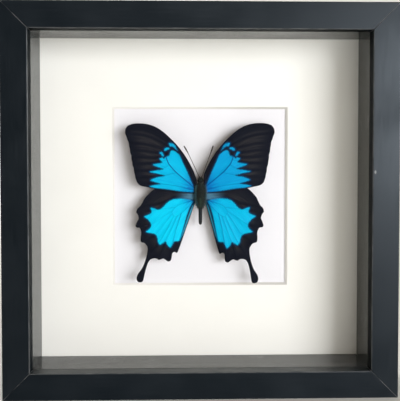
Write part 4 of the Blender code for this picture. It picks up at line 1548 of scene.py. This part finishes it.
class StageLook(bpy.types.PropertyGroup):
    """Floor, lights and camera."""

    floor: colour("Floor", "Colour of the floor and backdrop", (0.82, 0.83, 0.81))
    room_light: number("Room light", "Strength of the light from all round", 0.31, 4.0)
    window_power: number(
        "Window light", "Power of the large soft light", 130.0, 1000.0, unit="POWER"
    )
    sky_power: number(
        "Sky light", "Power of the bluish light that only gloss mirrors", 32.0, 1000.0,
        unit="POWER",
    )
    reflector_power: number(
        "Reflector", "Power of the weak light from below", 4.2, 100.0, unit="POWER"
    )
    back_power: number(
        "Back light", "Power of the soft light behind the box", 30.0, 1000.0, unit="POWER"
    )
    lens: number("Lens", "Focal length of the camera", 50.27, 300.0, 10.0, unit="CAMERA")


class ButterflyBoxLook(bpy.types.PropertyGroup):
    """All the settings of the framed butterfly."""

    box: bpy.props.PointerProperty(name="Box", type=BoxLook)
    specimen: bpy.props.PointerProperty(name="Specimen", type=SpecimenLook)
    stage: bpy.props.PointerProperty(name="Stage", type=StageLook)


class BUTTERFLYBOX_OT_rails(bpy.types.Operator):
    """Build the four mitred rails with their black foil"""

    bl_idname = "butterflybox.rails"
    bl_label = "Rails"

    def execute(self, context):
        build_rails(context.scene.butterfly_box.box)
        return {"FINISHED"}


class BUTTERFLYBOX_OT_spacers(bpy.types.Operator):
    """Build the four strips between the glass and the mat"""

    bl_idname = "butterflybox.spacers"
    bl_label = "Spacers"

    def execute(self, context):
        build_spacers(context.scene.butterfly_box.box)
        return {"FINISHED"}


class BUTTERFLYBOX_OT_glazing(bpy.types.Operator):
    """Make the glazing clear"""

    bl_idname = "butterflybox.glazing"
    bl_label = "Glazing"

    def execute(self, context):
        dress("glazing", shared_material("picture_glass", glass_material))
        return {"FINISHED"}


class BUTTERFLYBOX_OT_mat(bpy.types.Operator):
    """Build the mat board with its bevelled window"""

    bl_idname = "butterflybox.mat"
    bl_label = "Mat board"

    def execute(self, context):
        build_mat(context.scene.butterfly_box.box)
        return {"FINISHED"}


class BUTTERFLYBOX_OT_boards(bpy.types.Operator):
    """Finish the backing card, the backboard and the foam block"""

    bl_idname = "butterflybox.boards"
    bl_label = "Card, backboard and block"

    def execute(self, context):
        look = context.scene.butterfly_box.box
        dress("backing_card", board_material("card_paper", look.card, look))
        dress("backboard", hardboard_material("hardboard"))
        dress("support_block", foam_material("white_foam"))
        return {"FINISHED"}


class BUTTERFLYBOX_OT_fittings(bpy.types.Operator):
    """Finish the tabs and the hanger, and build its rivets"""

    bl_idname = "butterflybox.fittings"
    bl_label = "Steel fittings"

    def execute(self, context):
        build_fittings()
        return {"FINISHED"}


class BUTTERFLYBOX_OT_forewings(bpy.types.Operator):
    """Build the two forewings"""

    bl_idname = "butterflybox.forewings"
    bl_label = "Forewings"

    def execute(self, context):
        for name, side in SIDES:
            build_forewing(name, side, context.scene.butterfly_box.specimen)
        return {"FINISHED"}


class BUTTERFLYBOX_OT_hindwings(bpy.types.Operator):
    """Build the two tailed hindwings"""

    bl_idname = "butterflybox.hindwings"
    bl_label = "Hindwings"

    def execute(self, context):
        for name, side in SIDES:
            build_hindwing(name, side, context.scene.butterfly_box.specimen)
        return {"FINISHED"}


class BUTTERFLYBOX_OT_body(bpy.types.Operator):
    """Build the head, thorax and abdomen"""

    bl_idname = "butterflybox.body"
    bl_label = "Body"

    def execute(self, context):
        build_body()
        return {"FINISHED"}


class BUTTERFLYBOX_OT_head(bpy.types.Operator):
    """Build the eyes, palps and tongue"""

    bl_idname = "butterflybox.head"
    bl_label = "Eyes, palps and tongue"

    def execute(self, context):
        build_head()
        return {"FINISHED"}


class BUTTERFLYBOX_OT_antennae(bpy.types.Operator):
    """Build the two clubbed antennae"""

    bl_idname = "butterflybox.antennae"
    bl_label = "Antennae"

    def execute(self, context):
        build_antennae()
        return {"FINISHED"}


class BUTTERFLYBOX_OT_legs(bpy.types.Operator):
    """Build the folded legs"""

    bl_idname = "butterflybox.legs"
    bl_label = "Legs"

    def execute(self, context):
        build_legs()
        return {"FINISHED"}


class BUTTERFLYBOX_OT_hair(bpy.types.Operator):
    """Build the hairs of the body and the wing roots"""

    bl_idname = "butterflybox.hair"
    bl_label = "Hair"

    def execute(self, context):
        build_hair(context.scene.butterfly_box.specimen)
        return {"FINISHED"}


class BUTTERFLYBOX_OT_stage(bpy.types.Operator):
    """Build the floor, the lights and the camera"""

    bl_idname = "butterflybox.stage"
    bl_label = "Stage"

    def execute(self, context):
        build_stage(context.scene.butterfly_box.stage)
        return {"FINISHED"}


OPERATORS = (
    BUTTERFLYBOX_OT_rails, BUTTERFLYBOX_OT_spacers, BUTTERFLYBOX_OT_glazing,
    BUTTERFLYBOX_OT_mat, BUTTERFLYBOX_OT_boards, BUTTERFLYBOX_OT_fittings,
    BUTTERFLYBOX_OT_forewings, BUTTERFLYBOX_OT_hindwings, BUTTERFLYBOX_OT_body,
    BUTTERFLYBOX_OT_head, BUTTERFLYBOX_OT_antennae, BUTTERFLYBOX_OT_legs,
    BUTTERFLYBOX_OT_hair, BUTTERFLYBOX_OT_stage,
)


class BUTTERFLYBOX_PT_panel(bpy.types.Panel):
    """Lists the settings and the pieces of the framed butterfly"""

    bl_idname = "BUTTERFLYBOX_PT_panel"
    bl_label = "Butterfly box"
    bl_space_type = "VIEW_3D"
    bl_region_type = "UI"
    bl_category = "Butterfly box"

    def draw(self, context):
        look = context.scene.butterfly_box
        for part in (look.box, look.specimen, look.stage):
            column = self.layout.column(align=True)
            for key in type(part).__annotations__:
                column.prop(part, key)
        for operator in OPERATORS:
            self.layout.operator(operator.bl_idname)


CLASSES = (
    BoxLook, SpecimenLook, StageLook, ButterflyBoxLook, *OPERATORS, BUTTERFLYBOX_PT_panel,
)


def register():
    for each in CLASSES:
        bpy.utils.register_class(each)
    bpy.types.Scene.butterfly_box = bpy.props.PointerProperty(type=ButterflyBoxLook)


def unregister():
    del bpy.types.Scene.butterfly_box
    for each in reversed(CLASSES):
        bpy.utils.unregister_class(each)


def main():
    register()
    for operator in OPERATORS:
        group, name = operator.bl_idname.split(".")
        getattr(getattr(bpy.ops, group), name)()
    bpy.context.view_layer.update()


if __name__ == "__main__":
    main()
